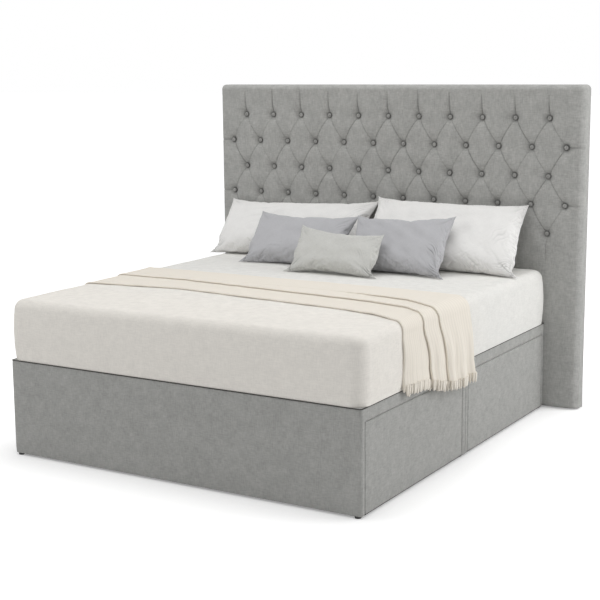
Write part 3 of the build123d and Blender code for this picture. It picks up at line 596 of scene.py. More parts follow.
class BED_OT_base(bpy.types.Operator):
    """Cover both halves of the base, leaving their drawers' openings clear"""

    bl_idname = "bed.base"
    bl_label = "Base covers"

    def execute(self, context):
        settings = context.scene.divan_base
        material = bpy.data.materials["base_cloth"]
        for half, outward in zip(HALVES, (-1, 1)):
            self.cover(settings, material, half, outward)
        return {"FINISHED"}

    def cover(self, settings, material, half, outward):
        """One half's cover: its outline carried up from the floor gap to the deck, drawn in at the
        top and bottom edges and along the openings by drop times exp(-distance / reach)."""
        low, high = box_of(f"{half}_base_upholstery")
        front_low, front_high = box_of(f"{half}_right_drawer_front_upholstery")
        gap, corner, step, foot = 3 * MM, 14 * MM, 11 * MM, 12 * MM
        open_top = front_high[2] + gap
        open_low, open_high = front_low[1] - gap, front_high[1] + gap
        x, y, normal_x, normal_y = skin_path(low, high, corner, outward, step)
        # the outline's points beside an opening's edge move onto it
        side = abs(normal_x) > 0.99
        for edge in (open_low, open_high):
            near = side & (abs(y - edge) < step / 2)
            y = np.where(near, edge, y)
        heights = np.concatenate(
            [
                np.linspace(low[2], low[2] + foot, 5),
                np.linspace(low[2] + foot, open_top, 30)[1:],
                np.linspace(open_top, high[2], 9)[1:],
            ]
        )
        path, z = np.meshgrid(np.arange(len(x)), heights, indexing="ij")
        px, py, nx, ny = x[path], y[path], normal_x[path], normal_y[path]
        to_opening = np.hypot(
            np.maximum(np.maximum(open_low - py, py - open_high), 0), np.maximum(z - open_top, 0)
        )
        nearest = np.minimum(z - low[2], high[2] - z)
        nearest = np.where(abs(nx) > 0.5, np.minimum(nearest, to_opening), nearest)
        out = padding(settings, px + py, z, nearest, 1, 3)
        points = np.stack([px + nx * out, py + ny * out, z], axis=-1)
        # above its top edge the cloth turns in over the deck, as shrunken copies of the outline
        centre = np.array([0, (low[1] + high[1]) / 2, 0])
        turned = [points]
        for share, lift in ((0.9985, 2.2 * MM), (0.995, 3.2 * MM), (0.9, 3.3 * MM)):
            ring = centre + (points[:, -1:] - centre) * (share, share, 1)
            ring[..., 2] += lift
            turned.append(ring)
        points = np.concatenate(turned, axis=1)
        columns, rows = points.shape[:2]
        faces = grid_faces(rows, columns, wrap=True)
        points = points.transpose(1, 0, 2).reshape(-1, 3)
        middles = points[faces].mean(axis=1)
        on_side = abs(middles[:, 0]) > high[0] - 8 * MM
        beside = (middles[:, 1] > open_low) & (middles[:, 1] < open_high)
        inside = on_side & beside & (middles[:, 2] < open_top)
        faces = faces[~inside]
        if outward > 0:
            faces = faces[:, ::-1]
        used, faces = np.unique(faces, return_inverse=True)
        points, faces = points[used], faces.reshape(-1, 4)
        # the cloth also turns in round each opening: up one side, along its top and down the other,
        # just clear of the opening that the drawer slides through
        outer, inner, clear = high[0] - settings.edge_drop, high[0] - 20 * MM, 0.2 * MM
        rise = np.array([low[2], open_top - clear, open_top - clear, low[2]])
        run = np.array([open_low + clear, open_low + clear, open_high - clear, open_high - clear])
        strip = grid_faces(2, 4)
        for side in (-1, 1):
            edge = np.stack([np.full(4, side * outer), run, rise], axis=-1)
            back = edge * (inner / outer, 1, 1)
            faces = np.concatenate([faces, (strip if side < 0 else strip[:, ::-1]) + len(points)])
            points = np.concatenate([points, edge, back])
        piece = mesh_piece(f"{half}_base_cover", points, [faces], material)
        thicken(piece, settings.cloth * 0.25, -1)
        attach(piece, "root")
        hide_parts(f"{half}_base_upholstery")


class BED_OT_drawer_fronts(bpy.types.Operator):
    """Upholster the four drawer fronts"""

    bl_idname = "bed.drawer_fronts"
    bl_label = "Drawer fronts"

    def execute(self, context):
        settings = context.scene.divan_base
        material = bpy.data.materials["base_cloth"]
        for half in HALVES:
            for name, side in SIDES:
                self.front(settings, material, f"{half}_{name}_drawer", side)
        return {"FINISHED"}

    def front(self, settings, material, drawer, side):
        """A rolled panel that faces outwards: flat in the middle, round at its edges and square back
        along the board, and closed a little short of the board's own back."""
        low, high = box_of(f"{drawer}_front_upholstery")
        roll = settings.drawer_roll
        corner = roll + 4 * MM
        short = 1.5 * MM
        depth = high[0] - low[0] - short
        across = np.linspace(low[1] + corner, high[1] - corner, 84)
        up = np.linspace(low[2] + corner, high[2] - corner, 34)
        profile = [(corner - roll, 0), *quarter_roll(corner - roll, 0, roll, 5)]
        profile += [(corner, depth * share) for share in (0.45, 0.7, 1)]
        y, z, deep, _ = rolled_grid(across, up, profile)
        face = high[0] if side > 0 else -low[0]
        nearest = np.min([y - low[1], high[1] - y, z - low[2], high[2] - z], axis=0)
        x = face - deep + padding(settings, y, z, nearest, 0.5, 5) * (deep < roll)
        points = np.stack([side * x, y, z], axis=-1).reshape(-1, 3)
        faces = face_outwards(points, [grid_faces(*y.shape), rim(*y.shape)[None, :]])
        piece = mesh_piece(f"{drawer}_front", points, faces, material)
        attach(piece, drawer)
        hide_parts(f"{drawer}_front_upholstery")


def button_places(settings, low, high):
    """Every button's place across and up the headboard, and its row, with one more button in every
    second row."""
    pitch = (high[0] - low[0]) / settings.columns
    across, up, row_of = [], [], []
    for row in range(settings.rows):
        count = settings.columns - 1 + row % 2
        across.append((np.arange(count) - (count - 1) / 2) * pitch)
        up.append(np.full(count, high[2] - settings.top_drop - row * settings.row_pitch))
        row_of.append(np.full(count, row))
    return np.concatenate(across), np.concatenate(up), np.concatenate(row_of)


def pleat_lines(settings, low, high):
    """Each pleat as (start, end, strength at the start, strength at the end): the diamonds between
    neighbouring rows, and the creases from the outer buttons that fade towards the edges."""
    pitch = (high[0] - low[0]) / settings.columns
    # how far out the outermost buttons of a row with fewer buttons, and of one with more, stand
    outermost = [(settings.columns - 2 + more) / 2 * pitch for more in (0, 1)]
    chance = np.random.default_rng(11)
    lines = []
    for x, z, row in zip(*button_places(settings, low, high)):
        for lean in (-1, 1):
            end = (x + lean * pitch / 2, z - settings.row_pitch)
            if row < settings.rows - 1 and abs(end[0]) < outermost[(row + 1) % 2] + MM:
                strength = chance.uniform(0.6, 1.2)
                lines.append(((x, z), end, strength, strength))
        if row == 0:
            length = chance.uniform(0.11, 0.142)
            lines.append(((x, z), (x, z + length), 1.4, 0.3))
        if row == settings.rows - 1:
            lines.append(((x, z), (x, z - 200 * MM), 0.5, 0.0))
        if row % 2 and abs(x) > outermost[0]:
            lines.append(((x, z), (np.sign(x) * high[0], z), 0.75, 0.35))
    return lines


def tufting(settings, low, high, x, z):
    """How far the buttoned cover lies behind its crown, and how much painted shade it gets in its
    tucks and round its buttons.

    A pleat's hollow is one minus the product, over the pleats, of one minus its strength times
    exp(-distance / reach). The tuck falls in a straight line to the pleat, and a dimple is
    exp(-(distance / reach) ** 1.15) round each button, down to the button's seat. A diagonal pleat
    is shallower and narrower than a crease to an edge, and shallowest at its middle.
    """
    open_share = np.ones(x.shape)
    tuck = np.zeros(x.shape)
    for (x0, z0), (x1, z1), first, last in pleat_lines(settings, low, high):
        run_x, run_z = x1 - x0, z1 - z0
        along = np.clip(((x - x0) * run_x + (z - z0) * run_z) / (run_x**2 + run_z**2), 0, 1)
        away = np.hypot(x - x0 - along * run_x, z - z0 - along * run_z)
        strength = first + (last - first) * along
        half_tuck = 5 * MM
        if first == last:
            strength = strength * (1 - 0.5 * np.sin(pi * along))
            half_tuck = 3.8 * MM
        open_share *= 1 - np.clip(0.8 * strength, 0, 0.9) * np.exp(-away / settings.pleat_reach)
        tuck = np.maximum(tuck, strength * np.clip(1 - away / half_tuck, 0, 1))
    dimple = np.zeros(x.shape)
    for button_x, button_z in zip(*button_places(settings, low, high)[:2]):
        away = np.hypot(x - button_x, z - button_z)
        dimple = np.maximum(dimple, np.exp(-((away / settings.dimple_reach) ** 1.15)))
    total = settings.pleat * (1 - open_share) + settings.tuck * tuck + settings.dimple * dimple
    # painted shade: it fades out along the tucks, and closes up round each button
    painted_button_shade = 0.2 * ease(dimple, 0.14, 0.4) + 0.8 * ease(dimple, 0.36, 0.6)
    painted_shade = np.maximum(0.7 * np.clip(tuck, 0, 1), painted_button_shade)
    return np.minimum(total, settings.deepest), painted_shade


def valley_triangles(rows, columns, height):
    """Two triangles for each cell of a grid, split along the diagonal that lies deeper, so that a
    pleat along a diagonal stays one sharp line."""
    a, b, c, d = grid_faces(rows, columns).T
    level = height.ravel()
    along_ac = (level[a] + level[c] >= level[b] + level[d])[:, None]
    first = np.where(along_ac, np.stack([a, b, c], 1), np.stack([a, b, d], 1))
    second = np.where(along_ac, np.stack([a, c, d], 1), np.stack([b, c, d], 1))
    return np.concatenate([first, second])


class BED_OT_headboard(bpy.types.Operator):
    """Make the deep-buttoned cover with the foam that it holds"""

    bl_idname = "bed.headboard"
    bl_label = "Buttoned headboard"

    def execute(self, context):
        """The cover is a rolled panel whose front lies back by the tufting. Its sides run to the
        lining, and turn in to the foam's flat back."""
        settings = context.scene.divan_headboard
        low, high = box_of("headboard_buttoned_cover")
        lining_low, _ = box_of("headboard_back_lining")
        panel_low, _ = box_of("headboard_panel")
        corner, roll, roll_depth = settings.corner, settings.roll, settings.roll_depth
        # the grid's columns and rows fall on the buttons, with this many cells from one to the next
        cells = 21
        cell = (high[0] - low[0]) / settings.columns / 2 / cells
        columns = round((high[0] - corner) / cell)
        across = np.arange(-columns, columns + 1) * cell
        top_row = high[2] - settings.top_drop
        bottom_row = top_row - (settings.rows - 1) * settings.row_pitch
        plain_top = bottom_row - 300 * MM
        up = np.concatenate(
            [
                np.linspace(low[2] + corner, plain_top, 20)[:-1],
                np.linspace(plain_top, bottom_row, 31)[:-1],
                np.linspace(bottom_row, top_row, cells * (settings.rows - 1) + 1)[:-1],
                np.linspace(top_row, high[2] - corner, 21),
            ]
        )
        depth = lining_low[1] - low[1] - 0.5 * MM
        skin = 3 * MM
        profile = [(share * (corner - roll), 0) for share in (0.5, 1)]
        turned = quarter_roll(corner - roll, 0, roll, 8)
        profile += [(out, deep * roll_depth / roll) for out, deep in turned]
        sides = [roll_depth + (depth - roll_depth) * share for share in (0.15, 0.4, 0.7, 1)]
        profile += [(corner, deep) for deep in sides]
        profile += [(corner - skin, depth), (corner - skin, panel_low[1] - low[1])]
        x, z, deep, ring = rolled_grid(across, up, profile, foot_squareness=0.85)
        height, painted_shade = tufting(settings, low, high, x, z)
        crown = settings.crown * (1 - np.exp(-np.maximum(height - MM, 0) / (4 * MM)))
        height = height - settings.crown + crown + 0.6 * MM * drift(x, z, 0.11, 7)
        # the tufting fades out round the roll and over the outer rings
        front = np.clip(1 - deep / roll_depth, 0, 1) * ease(ring, len(profile), 2)
        fall = settings.edge_fall * np.exp(-(high[0] - abs(x)) / settings.edge_reach)
        fall = np.where(ring < len(profile), fall * (1 - deep / depth), 0)
        y = low[1] + deep + height * front + fall
        points = np.stack([x, y, z], axis=-1).reshape(-1, 3)
        faces = face_outwards(points, [valley_triangles(*x.shape, -y), rim(*x.shape)[None, :]])
        material = grey_upholstery("headboard_cloth", settings.colour)
        # the tufting's painted shade darkens the cloth along the tucks and round the buttons
        piece = mesh_piece("headboard_cover", points, faces, material, painted_shade=painted_shade * front)
        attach(piece, "root")
        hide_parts("headboard_buttoned_cover", "headboard_foam")
        return {"FINISHED"}


class BED_OT_buttons(bpy.types.Operator):
    """Make the covered buttons, pulled into their dimples"""

    bl_idname = "bed.buttons"
    bl_label = "Covered buttons"

    def execute(self, context):
        """Each button is a domed profile turned about its own line, tipped a little at random."""
        settings = context.scene.divan_headboard
        low, high = box_of("headboard_buttoned_cover")
        # the dome's rings from its pole to its back: how far out, how far forwards, and how much
        # painted shade darkens it
        rings = np.array([
            (0.15, 0.225, 0), (0.28, 0.2, 0.05), (0.38, 0.15, 0.35), (0.45, 0.07, 0.75),
            (0.49, -0.02, 1), (0.5, -0.12, 1), (0.485, -0.24, 1),
        ])
        pole_rise = 0.232
        out, rise, shade = rings.T
        turns = np.linspace(0, 2 * pi, 20, endpoint=False)
        ring_x, ring_z = (out[:, None] * wave(turns) for wave in (np.cos, np.sin))
        ring_y = np.broadcast_to(-rise[:, None], ring_x.shape)
        shape = np.stack([ring_x, ring_y, ring_z], axis=-1).reshape(-1, 3)
        shape = np.concatenate([shape, [(0, -pole_rise, 0)]]) * settings.button
        pole, count = len(shape) - 1, len(turns)
        step = np.arange(count)
        cap = np.stack([np.full(count, pole), step, (step + 1) % count], axis=-1)
        back = (len(out) - 1) * count + step
        one = face_outwards(shape, [cap, grid_faces(len(out), count, wrap=True), back[None, :]])
        across, up, _ = button_places(settings, low, high)
        chance = np.random.default_rng(21)
        tips = chance.uniform(-0.12, 0.12, (len(across), 2))
        sink = chance.uniform(-1.2, 1.2, len(across)) * MM
        seat = low[1] + 16.5 * MM
        points = shape[None] + np.stack([across, seat + sink, up], axis=-1)[:, None]
        points[:, :, 1] += tips[:, :1] * shape[None, :, 0] + tips[:, 1:] * shape[None, :, 2]
        shift = (np.arange(len(across)) * len(shape))[:, None, None]
        faces = [(group[None] + shift).reshape(-1, group.shape[1]) for group in one]
        # painted shade: each button's rim is darkened where it meets its dimple
        painted_shade = np.tile(np.append(np.repeat(shade, count), 0), len(across))
        material = bpy.data.materials["headboard_cloth"]
        piece = mesh_piece("covered_buttons", points.reshape(-1, 3), faces, material, painted_shade=painted_shade)
        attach(piece, "root")
        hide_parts("headboard_buttons")
        return {"FINISHED"}


def mattress_surface(settings, low, high, inset):
    """The mattress's rounded block as a rolled panel laid flat: its top, its soft top edge, sides
    that swell as a sine of their height, its bottom edge and the hem turned in below. Gives each
    point's place and ring, and the number of the last ring."""
    corner, roll, foot = (
        radius - inset for radius in (settings.corner, settings.top_edge, settings.bottom_edge)
    )
    depth = high[2] - low[2] - 2 * inset
    across = np.linspace(low[0] + settings.corner, high[0] - settings.corner, 115)
    along = np.linspace(low[1] + settings.corner, high[1] - settings.corner, 125)
    drop = depth - roll - foot
    profile = [(share * (corner - roll), 0) for share in (0.5, 1)]
    top_rings = len(profile)
    profile += quarter_roll(corner - roll, 0, roll, 8)
    profile += [(corner, roll + share * drop) for share in np.linspace(0, 1, 17)[1:]]
    turn = np.linspace(0, pi / 2, 5)[1:]
    profile += [(corner - foot + foot * cos(t), depth - foot + foot * sin(t)) for t in turn]
    profile += [(corner - foot - share * settings.hem, depth) for share in (0.5, 1)]
    x, y, deep, ring = rolled_grid(across, along, profile)
    share = np.clip((deep - roll) / drop, 0, 1)
    swell = settings.side_swell * np.sin(pi * share) ** 0.8 * (ring > top_rings)
    # the sides swell straight out, and the corners away from their own centres
    centre, half = (low + high) / 2, (high - low) / 2
    away_x, away_y = (
        np.clip((abs(place - centre[k]) - half[k] + settings.corner) / settings.corner, 0, 1)
        for k, place in enumerate((x, y))
    )
    length = np.maximum(np.hypot(away_x, away_y), 1e-6)
    x = x + np.sign(x - centre[0]) * swell * away_x / length
    y = y + np.sign(y - centre[1]) * swell * away_y / length
    return x, y, high[2] - inset - deep, ring, len(profile)


class BED_OT_mattress(bpy.types.Operator):
    """Make the mattress inside its fitted sheet"""

    bl_idname = "bed.mattress"
    bl_label = "Mattress"

    def execute(self, context):
        settings = context.scene.divan_mattress
        low, high = box_of("fitted_sheet")
        under_sheet = 2.5 * MM
        x, y, z, *_ = mattress_surface(settings, low, high, under_sheet)
        points = np.stack([x, y, z], axis=-1).reshape(-1, 3)
        faces = face_outwards(points, [grid_faces(*x.shape), rim(*x.shape)[None, :]])
        material = bpy.data.materials["woven_ticking"]
        piece = mesh_piece("mattress", points, faces, material)
        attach(piece, "root")
        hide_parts("mattress_ticking", "mattress_comfort_layers")
        return {"FINISHED"}


class BED_OT_fitted_sheet(bpy.types.Operator):
    """Stretch the fitted sheet over the mattress"""

    bl_idname = "bed.fitted_sheet"
    bl_label = "Fitted sheet"

    def execute(self, context):
        """The sheet follows the mattress's surface with slow unevenness on its top and sides."""
        settings = context.scene.divan_mattress
        low, high = box_of("fitted_sheet")
        x, y, z, ring, last = mattress_surface(settings, low, high, 0)
        lift = settings.crumple * (0.5 * drift(x, y, 0.5, 31) + 0.25 * drift(x, y, 0.17, 32) - 0.6)
        z = z + np.where(z > high[2] - settings.top_edge, lift, 0)
        # the sides' unevenness lies on their own run and height, and stops short of both edges
        centre, half, edge = (low + high) / 2, (high - low) / 2, 30 * MM
        on_right_or_left, on_foot_or_head = (
            abs(place - centre[k]) > half[k] - edge for k, place in enumerate((x, y))
        )
        around = np.where(on_right_or_left, y, x)
        push = 0.5 * drift(around, z, 0.35, 33) + 0.3 * drift(around, 4 * z, 0.2, 34)
        push *= settings.crumple * ((ring > 10) & (ring < last - 5))
        x = x + np.where(on_right_or_left, np.sign(x) * push, 0)
        y = y + np.where(on_foot_or_head, np.sign(y - centre[1]) * push, 0)
        points = np.stack([x, y, z], axis=-1).reshape(-1, 3)
        material = smooth_cotton("cotton_sheet", settings.sheet_colour, settings.head_painted_light_colour)
        piece = mesh_piece("fitted_sheet_cloth", points, [grid_faces(*x.shape)], material)
        thicken(piece, settings.sheet_cloth, -1)
        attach(piece, "root")
        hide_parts("fitted_sheet")
        return {"FINISHED"}


def case_grid(columns, rows):
    """A flat case of two cloths that share their edges: points as shares from -1 to 1 across and up,
    which cloth each lies on, quads that face outwards, and the numbers of both cloths' points."""
    a, b = np.meshgrid(np.linspace(-1, 1, columns), np.linspace(-1, 1, rows), indexing="ij")
    front_ids = np.arange(columns * rows).reshape(columns, rows)
    inner = np.zeros((columns, rows), bool)
    inner[1:-1, 1:-1] = True
    back_ids = front_ids.copy()
    back_ids[inner] = columns * rows + np.arange(inner.sum())
    flat = grid_faces(columns, rows)
    faces = np.concatenate([flat, back_ids.ravel()[flat][:, ::-1]])
    across = np.concatenate([a.ravel(), a[inner]])
    up = np.concatenate([b.ravel(), b[inner]])
    cloth = np.concatenate([np.where(inner, 1, 0).ravel(), -np.ones(inner.sum())])
    return across, up, cloth, faces, (front_ids, back_ids)


def finer(sheet, times):
    """A grid of points at a share of its spacing. Each new point lies on the cubic through the four
    old ones round it, first along one side of the grid and then along the other."""
    for _ in range(2):
        longer = np.concatenate([2 * sheet[:1] - sheet[1:2], sheet, 2 * sheet[-1:] - sheet[-2:-1]])
        place = np.arange((len(sheet) - 1) * times + 1) / times
        first = np.minimum(place.astype(int), len(sheet) - 2)
        t = (place - first)[:, None, None]
        a, b, c, d = (longer[first + step] for step in range(4))
        curve = 2 * a - 5 * b + 4 * c - d + t * (3 * (b - c) + d - a)
        sheet = (b + t / 2 * (c - a + t * curve)).swapaxes(0, 1)
    return sheet


def fill_case(piece, settings):
    """Blows a flat case up with the cloth solver, as its filling does, and returns its points."""
    solver = piece.modifiers.new("filling", "CLOTH")
    cloth = solver.settings
    cloth.quality = 6
    cloth.mass = 0.3
    cloth.tension_stiffness = 80
    cloth.compression_stiffness = 10
    cloth.shear_stiffness = 12
    cloth.bending_stiffness = 0.02
    cloth.tension_damping = cloth.compression_damping = cloth.shear_damping = 12
    cloth.use_pressure = True
    cloth.uniform_pressure_force = settings.pressure
    cloth.effector_weights.gravity = 0
    solver.collision_settings.use_collision = False
    scene = bpy.context.scene
    for number in range(1, settings.frames + 1):
        scene.frame_set(number)
    filled = piece.evaluated_get(bpy.context.evaluated_depsgraph_get())
    points = np.empty(len(piece.data.vertices) * 3)
    filled.data.vertices.foreach_get("co", points)
    piece.modifiers.remove(solver)
    scene.frame_set(1)
    return points.reshape(-1, 3)


def soft_limit(value, limit, give):
    """Values that stay above a limit, easing into it: limit + give * log(1 + exp(over / give))."""
    return limit + give * np.logaddexp(0, (value - limit) / give)


# each case's height, thickness and place of its foot along the bed, how far its lower left, lower
# right, upper left and upper right corner lies right of the node's own, and how much higher its
# right end stands, in millimetres, and its right end's turn to the foot in degrees
CASES = {
    "left_pillow": (402, 160, 623, -8, -8, -40, -8, 38, 0),
    "right_pillow": (492, 160, 570, -3, -3, -43, -86, -10, 0),
    "left_cushion": (365, 122, 413, 33, 33, 9, 22, 3, 0),
    "right_cushion": (365, 122, 390, 55, 14, -23, -42, 34, 3),
    "small_cushion": (300, 98, 240, -8, -8, -21, -50, -30, 0),
}

# bundles of pulled creases: each one's place across and up as shares from -1 to 1, its lean in
# degrees, its half length, half breadth, pitch and depth in millimetres, and how much painted shade
# its valleys get
CREASES = {
    "left_pillow": (
        (-0.9, -0.7, 25, 34, 26, 14, 4.2, 0.9), (0.78, 0.0, 55, 55, 46, 17, 4.6, 1.0),
        (0.86, 0.6, 35, 38, 24, 15, 3.4, 0.7), (-0.35, 0.2, 15, 110, 60, 48, 2.6, 0.1),
    ),
    "right_pillow": (
        (0.74, -0.1, 52, 52, 44, 23, 3.0, 0.28), (0.88, 0.4, 48, 38, 22, 17, 2.6, 0.26),
        (0.86, -0.76, 20, 46, 28, 16, 4.4, 0.9), (0.35, -0.72, 30, 50, 30, 26, 1.8, 0.08),
        (0.93, -0.88, -35, 26, 20, 13, 3.6, 1.0), (-0.8, 0.75, -40, 36, 22, 15, 2.4, 0.25),
    ),
    "left_cushion": (
        (0.8, 0.45, 38, 36, 22, 15, 2.8, 0.55), (-0.9, -0.78, 30, 30, 22, 14, 4.6, 1.3),
        (-0.3, -0.55, 15, 60, 30, 26, 2.0, 0.15),
    ),
    "right_cushion": (
        (0.75, -0.24, -46, 32, 28, 15, 4.6, 1.2), (0.84, -0.8, -30, 32, 24, 14, 5.0, 1.4),
        (0.86, 0.45, -58, 26, 18, 13, 2.8, 0.45), (-0.3, -0.4, -20, 70, 34, 30, 2.2, 0.15),
    ),
    "small_cushion": (
        (0.86, -0.76, -30, 32, 24, 14, 4.8, 1.4), (0.62, -0.1, -60, 34, 20, 17, 2.2, 0.25),
        (-0.88, -0.62, 42, 28, 20, 13, 3.2, 0.8),
    ),
}


def crease(turn):
    """A wave of broad ridges between narrow valleys, the root of a sine's size less its mean, and
    how deep in a valley each place is, as exp(-(sine / 0.4) squared)."""
    size = abs(np.sin(turn))
    return np.sqrt(size) - 0.76, np.exp(-((size / 0.4) ** 2))


def hump(place, middle, reach):
    """exp(-((place - middle) / reach) squared)."""
    return np.exp(-(((place - middle) / reach) ** 2))


def seam_folds(node, across, up, cloth, width, height, seed):
    """The folds that a filled case keeps, as a shift out of its own plane, and how much painted
    shade each place gets in a fold's valley.

    From each corner, ridges fan out by angle, strongest 70 mm out, with shorter ones and a crease
    across them at the two lower corners. Along each seam the cloths are puckered every 21 mm, most
    15 mm from it, and the seam itself waves. The bundles of pulled creases run along their lean,
    each within an oval.
    """
    chance = np.random.default_rng(seed)
    shift, hidden = np.zeros(across.shape), np.zeros(across.shape)
    x, y = across * width / 2, up * height / 2
    for side in (-1, 1):
        for end in (-1, 1):
            from_side, from_end = width / 2 - side * x, height / 2 - end * y
            reach, angle = np.hypot(from_side, from_end), np.arctan2(from_end, from_side)
            strength = chance.uniform(4.2, 5.4) * MM * (1.0 if end < 0 else 0.6)
            fan, valley = crease(5 * angle + chance.uniform(0, 3) + 7 * reach)
            weight = hump(reach, 70 * MM, 40 * MM)
            shift += cloth * strength * fan * weight
            hidden = np.maximum(hidden, (0.5 if end < 0 else 0.3) * valley * weight)
            if end < 0:
                fan, valley = crease(6 * angle + chance.uniform(0, 3))
                weight = hump(reach, 36 * MM, 16 * MM)
                shift += cloth * 4.2 * MM * fan * weight
                hidden = np.maximum(hidden, 0.7 * valley * weight)
                # the flat ear meets the full case in a bent crease
                swing = drift(0.05 * angle, 0.03 * cloth, 0.05, seed + 15 + side)
                neck = hump(reach, (34 + 5 * swing) * MM, 4.5 * MM)
                shift -= cloth * 2.5 * MM * neck
                hidden = np.maximum(hidden, 0.9 * neck)
    pucker_pitch, pucker_place = 21 * MM, 15 * MM
    for away, along, step in ((width / 2 - abs(x), y, 1), (height / 2 - abs(y), x, 2)):
        weight = np.clip(1 + 0.9 * drift(along, 0 * along, 0.2, seed + step), 0, 2)
        swerve = 2 * drift(along, across + up, 0.3, seed + step + 2)
        pucker, valley = crease(pi * along / pucker_pitch + swerve)
        weight = weight * away / pucker_place * np.exp(1 - away / pucker_place)
        shift += cloth * 2 * MM * pucker * weight
        hidden = np.maximum(hidden, 0.3 * valley * weight)
        wave = drift(along, 0 * along, 0.07, seed + step + 4)
        shift += 1.8 * MM * wave * np.exp(-away / (20 * MM))
    for number, (place_x, place_y, lean, *sizes, dark) in enumerate(CREASES[node]):
        length, breadth, pitch, depth = np.array(sizes) * MM
        lean = radians(lean)
        off_x, off_y = x - place_x * width / 2, y - place_y * height / 2
        along = off_x * cos(lean) + off_y * sin(lean)
        beside = off_y * cos(lean) - off_x * sin(lean)
        oval = np.exp(-((along / length) ** 2) - (beside / breadth) ** 2)
        swerve = 1.3 * drift(x, y, 5 * pitch, seed + 20 + number)
        fold, valley = crease(pi * beside / pitch + swerve)
        shift += cloth * depth * fold * oval
        # painted shade in the bundle's valleys
        hidden = np.maximum(hidden, dark * valley * oval)
    soft = drift(x + 0.5 * y, 1.6 * y + 0.2 * cloth, 0.17, seed + 8)
    shift += 3.2 * MM * soft * (1 - across**2) * (1 - up**2) * cloth
    # the painted shade of all the folds' valleys
    return shift, np.clip(0.85 * hidden, 0, 0.9)


def corner_forms(local, across, up, width, height):
    """Lets the lower corners stand out as flat ears under sides that are drawn in, and the upper ones
    end in flat points, each weighed by exp(-distance squared) or exp(-distance) from its place."""
    beside, above = (1 - abs(across)) * width / 2, (1 + up) * height / 2
    below = (1 - up) * height / 2
    outer = np.sign(across) * abs(across) ** 4
    low_reach, high_reach = np.hypot(beside, above), np.hypot(beside, below)
    local[:, 0] += outer * 13 * MM * hump(above, 0, 22 * MM)
    local[:, 0] -= outer * 24 * MM * hump(above, 60 * MM, 38 * MM)
    local[:, 1] += 5 * MM * np.exp(-high_reach / (20 * MM))
    ear, point = np.exp(-low_reach / (45 * MM)), np.exp(-high_reach / (35 * MM))
    local[:, 2] *= 1 - 0.5 * ear - 0.4 * point
    return local


def make_case(settings, node, lean, material, seed):
    """A pillow or cushion that leans back: a flat case, filled, brought to the packed solid's size,
    stood at its lean with its foot on the mattress, and kept off the mattress and headboard."""
    low, high = box_of(node)
    width = high[0] - low[0]
    *lengths, turn = CASES[node]
    height, thickness, foot, low_left, low_right, top_left, top_right, rise_right = (
        np.array(lengths) * MM
    )
    turn = radians(turn)
    _, mattress_high = box_of("fitted_sheet")
    cover_low, _ = box_of("headboard_buttoned_cover")
    columns, rows = round(width / settings.cell) + 1, round(height / settings.cell) + 1
    across, up, cloth, faces, (front_ids, back_ids) = case_grid(columns, rows)
    bulge = (1 - across**2) * (1 - up**2)
    start = thickness / 2 * settings.start_share * bulge**0.5 * cloth
    start += 0.5 * MM * cloth * drift(across * width, up * height + cloth * 0.3, 0.1, seed)
    local = np.stack([across * width / 2, up * height / 2, start], axis=-1)
    empty = mesh_piece(node + "_empty", local, face_outwards(local, [faces]), material)
    local = fill_case(empty, settings)
    bpy.data.objects.remove(empty)
    size = local.max(axis=0) - local.min(axis=0)
    middle = (local.max(axis=0) + local.min(axis=0)) / 2
    local = (local - middle) * (width, height, thickness) / size
    # the folds are finer than the filled cloth's points, so both cloths get three times as many
    finer_by = 3
    front, back = (finer(local[ids], finer_by) for ids in (front_ids, back_ids))
    across, up, cloth, faces, (front_ids, back_ids) = case_grid(
        finer_by * (columns - 1) + 1, finer_by * (rows - 1) + 1
    )
    local = np.empty((len(across), 3))
    local[back_ids], local[front_ids] = back, front
    local = corner_forms(local, across, up, width, height)
    shift, hidden = seam_folds(node, across, up, cloth, width, height, seed)
    local[:, 2] += shift
    # the filling sinks, so the case is fuller towards its foot
    local[:, 2] *= 1 - 0.22 * local[:, 1] / height
    flat_map = np.stack([across * width / 2 + cloth * width, up * height / 2], axis=-1)
    # the corners go to their places, by shares of the way to the right and up
    share_right, rise = 0.5 + local[:, 0] / width, local[:, 1] + height / 2
    low_shift = low_left + (low_right - low_left) * share_right
    top_shift = top_left + (top_right - top_left) * share_right
    local[:, 0] += low_shift + (top_shift - low_shift) * rise / height
    rise *= 1 + rise_right / height * share_right
    x = (low[0] + high[0]) / 2 + local[:, 0] * cos(turn)
    y = foot + rise * cos(lean) - local[:, 2] * sin(lean) - local[:, 0] * sin(turn)
    z = mattress_high[2] + rise * sin(lean) + local[:, 2] * cos(lean)
    z = soft_limit(z, mattress_high[2] + 0.7 * MM, 3 * MM)
    y = -soft_limit(-y, -cover_low[1] + 5 * MM, 3 * MM)
    points = np.stack([x, y, z], axis=-1)
    faces = face_outwards(points, [faces])
    # hidden darkens the case's cloth as painted shade in its folds' valleys
    piece = mesh_piece(node + "_case", points, faces, material, flat_map, painted_shade=hidden)
    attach(piece, "root")
    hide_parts(node)


class BED_OT_pillows(bpy.types.Operator):
    """Fill the two white pillows and lean them on the headboard"""

    bl_idname = "bed.pillows"
    bl_label = "Pillows"

    def execute(self, context):
        settings = context.scene.divan_bedding
        material = case_cloth("crumpled_cotton", settings.pillow_colour, 0.03, 0.15 * MM, 0.08)
        make_case(settings, "left_pillow", settings.left_lean, material, 41)
        make_case(settings, "right_pillow", settings.right_lean, material, 42)
        return {"FINISHED"}


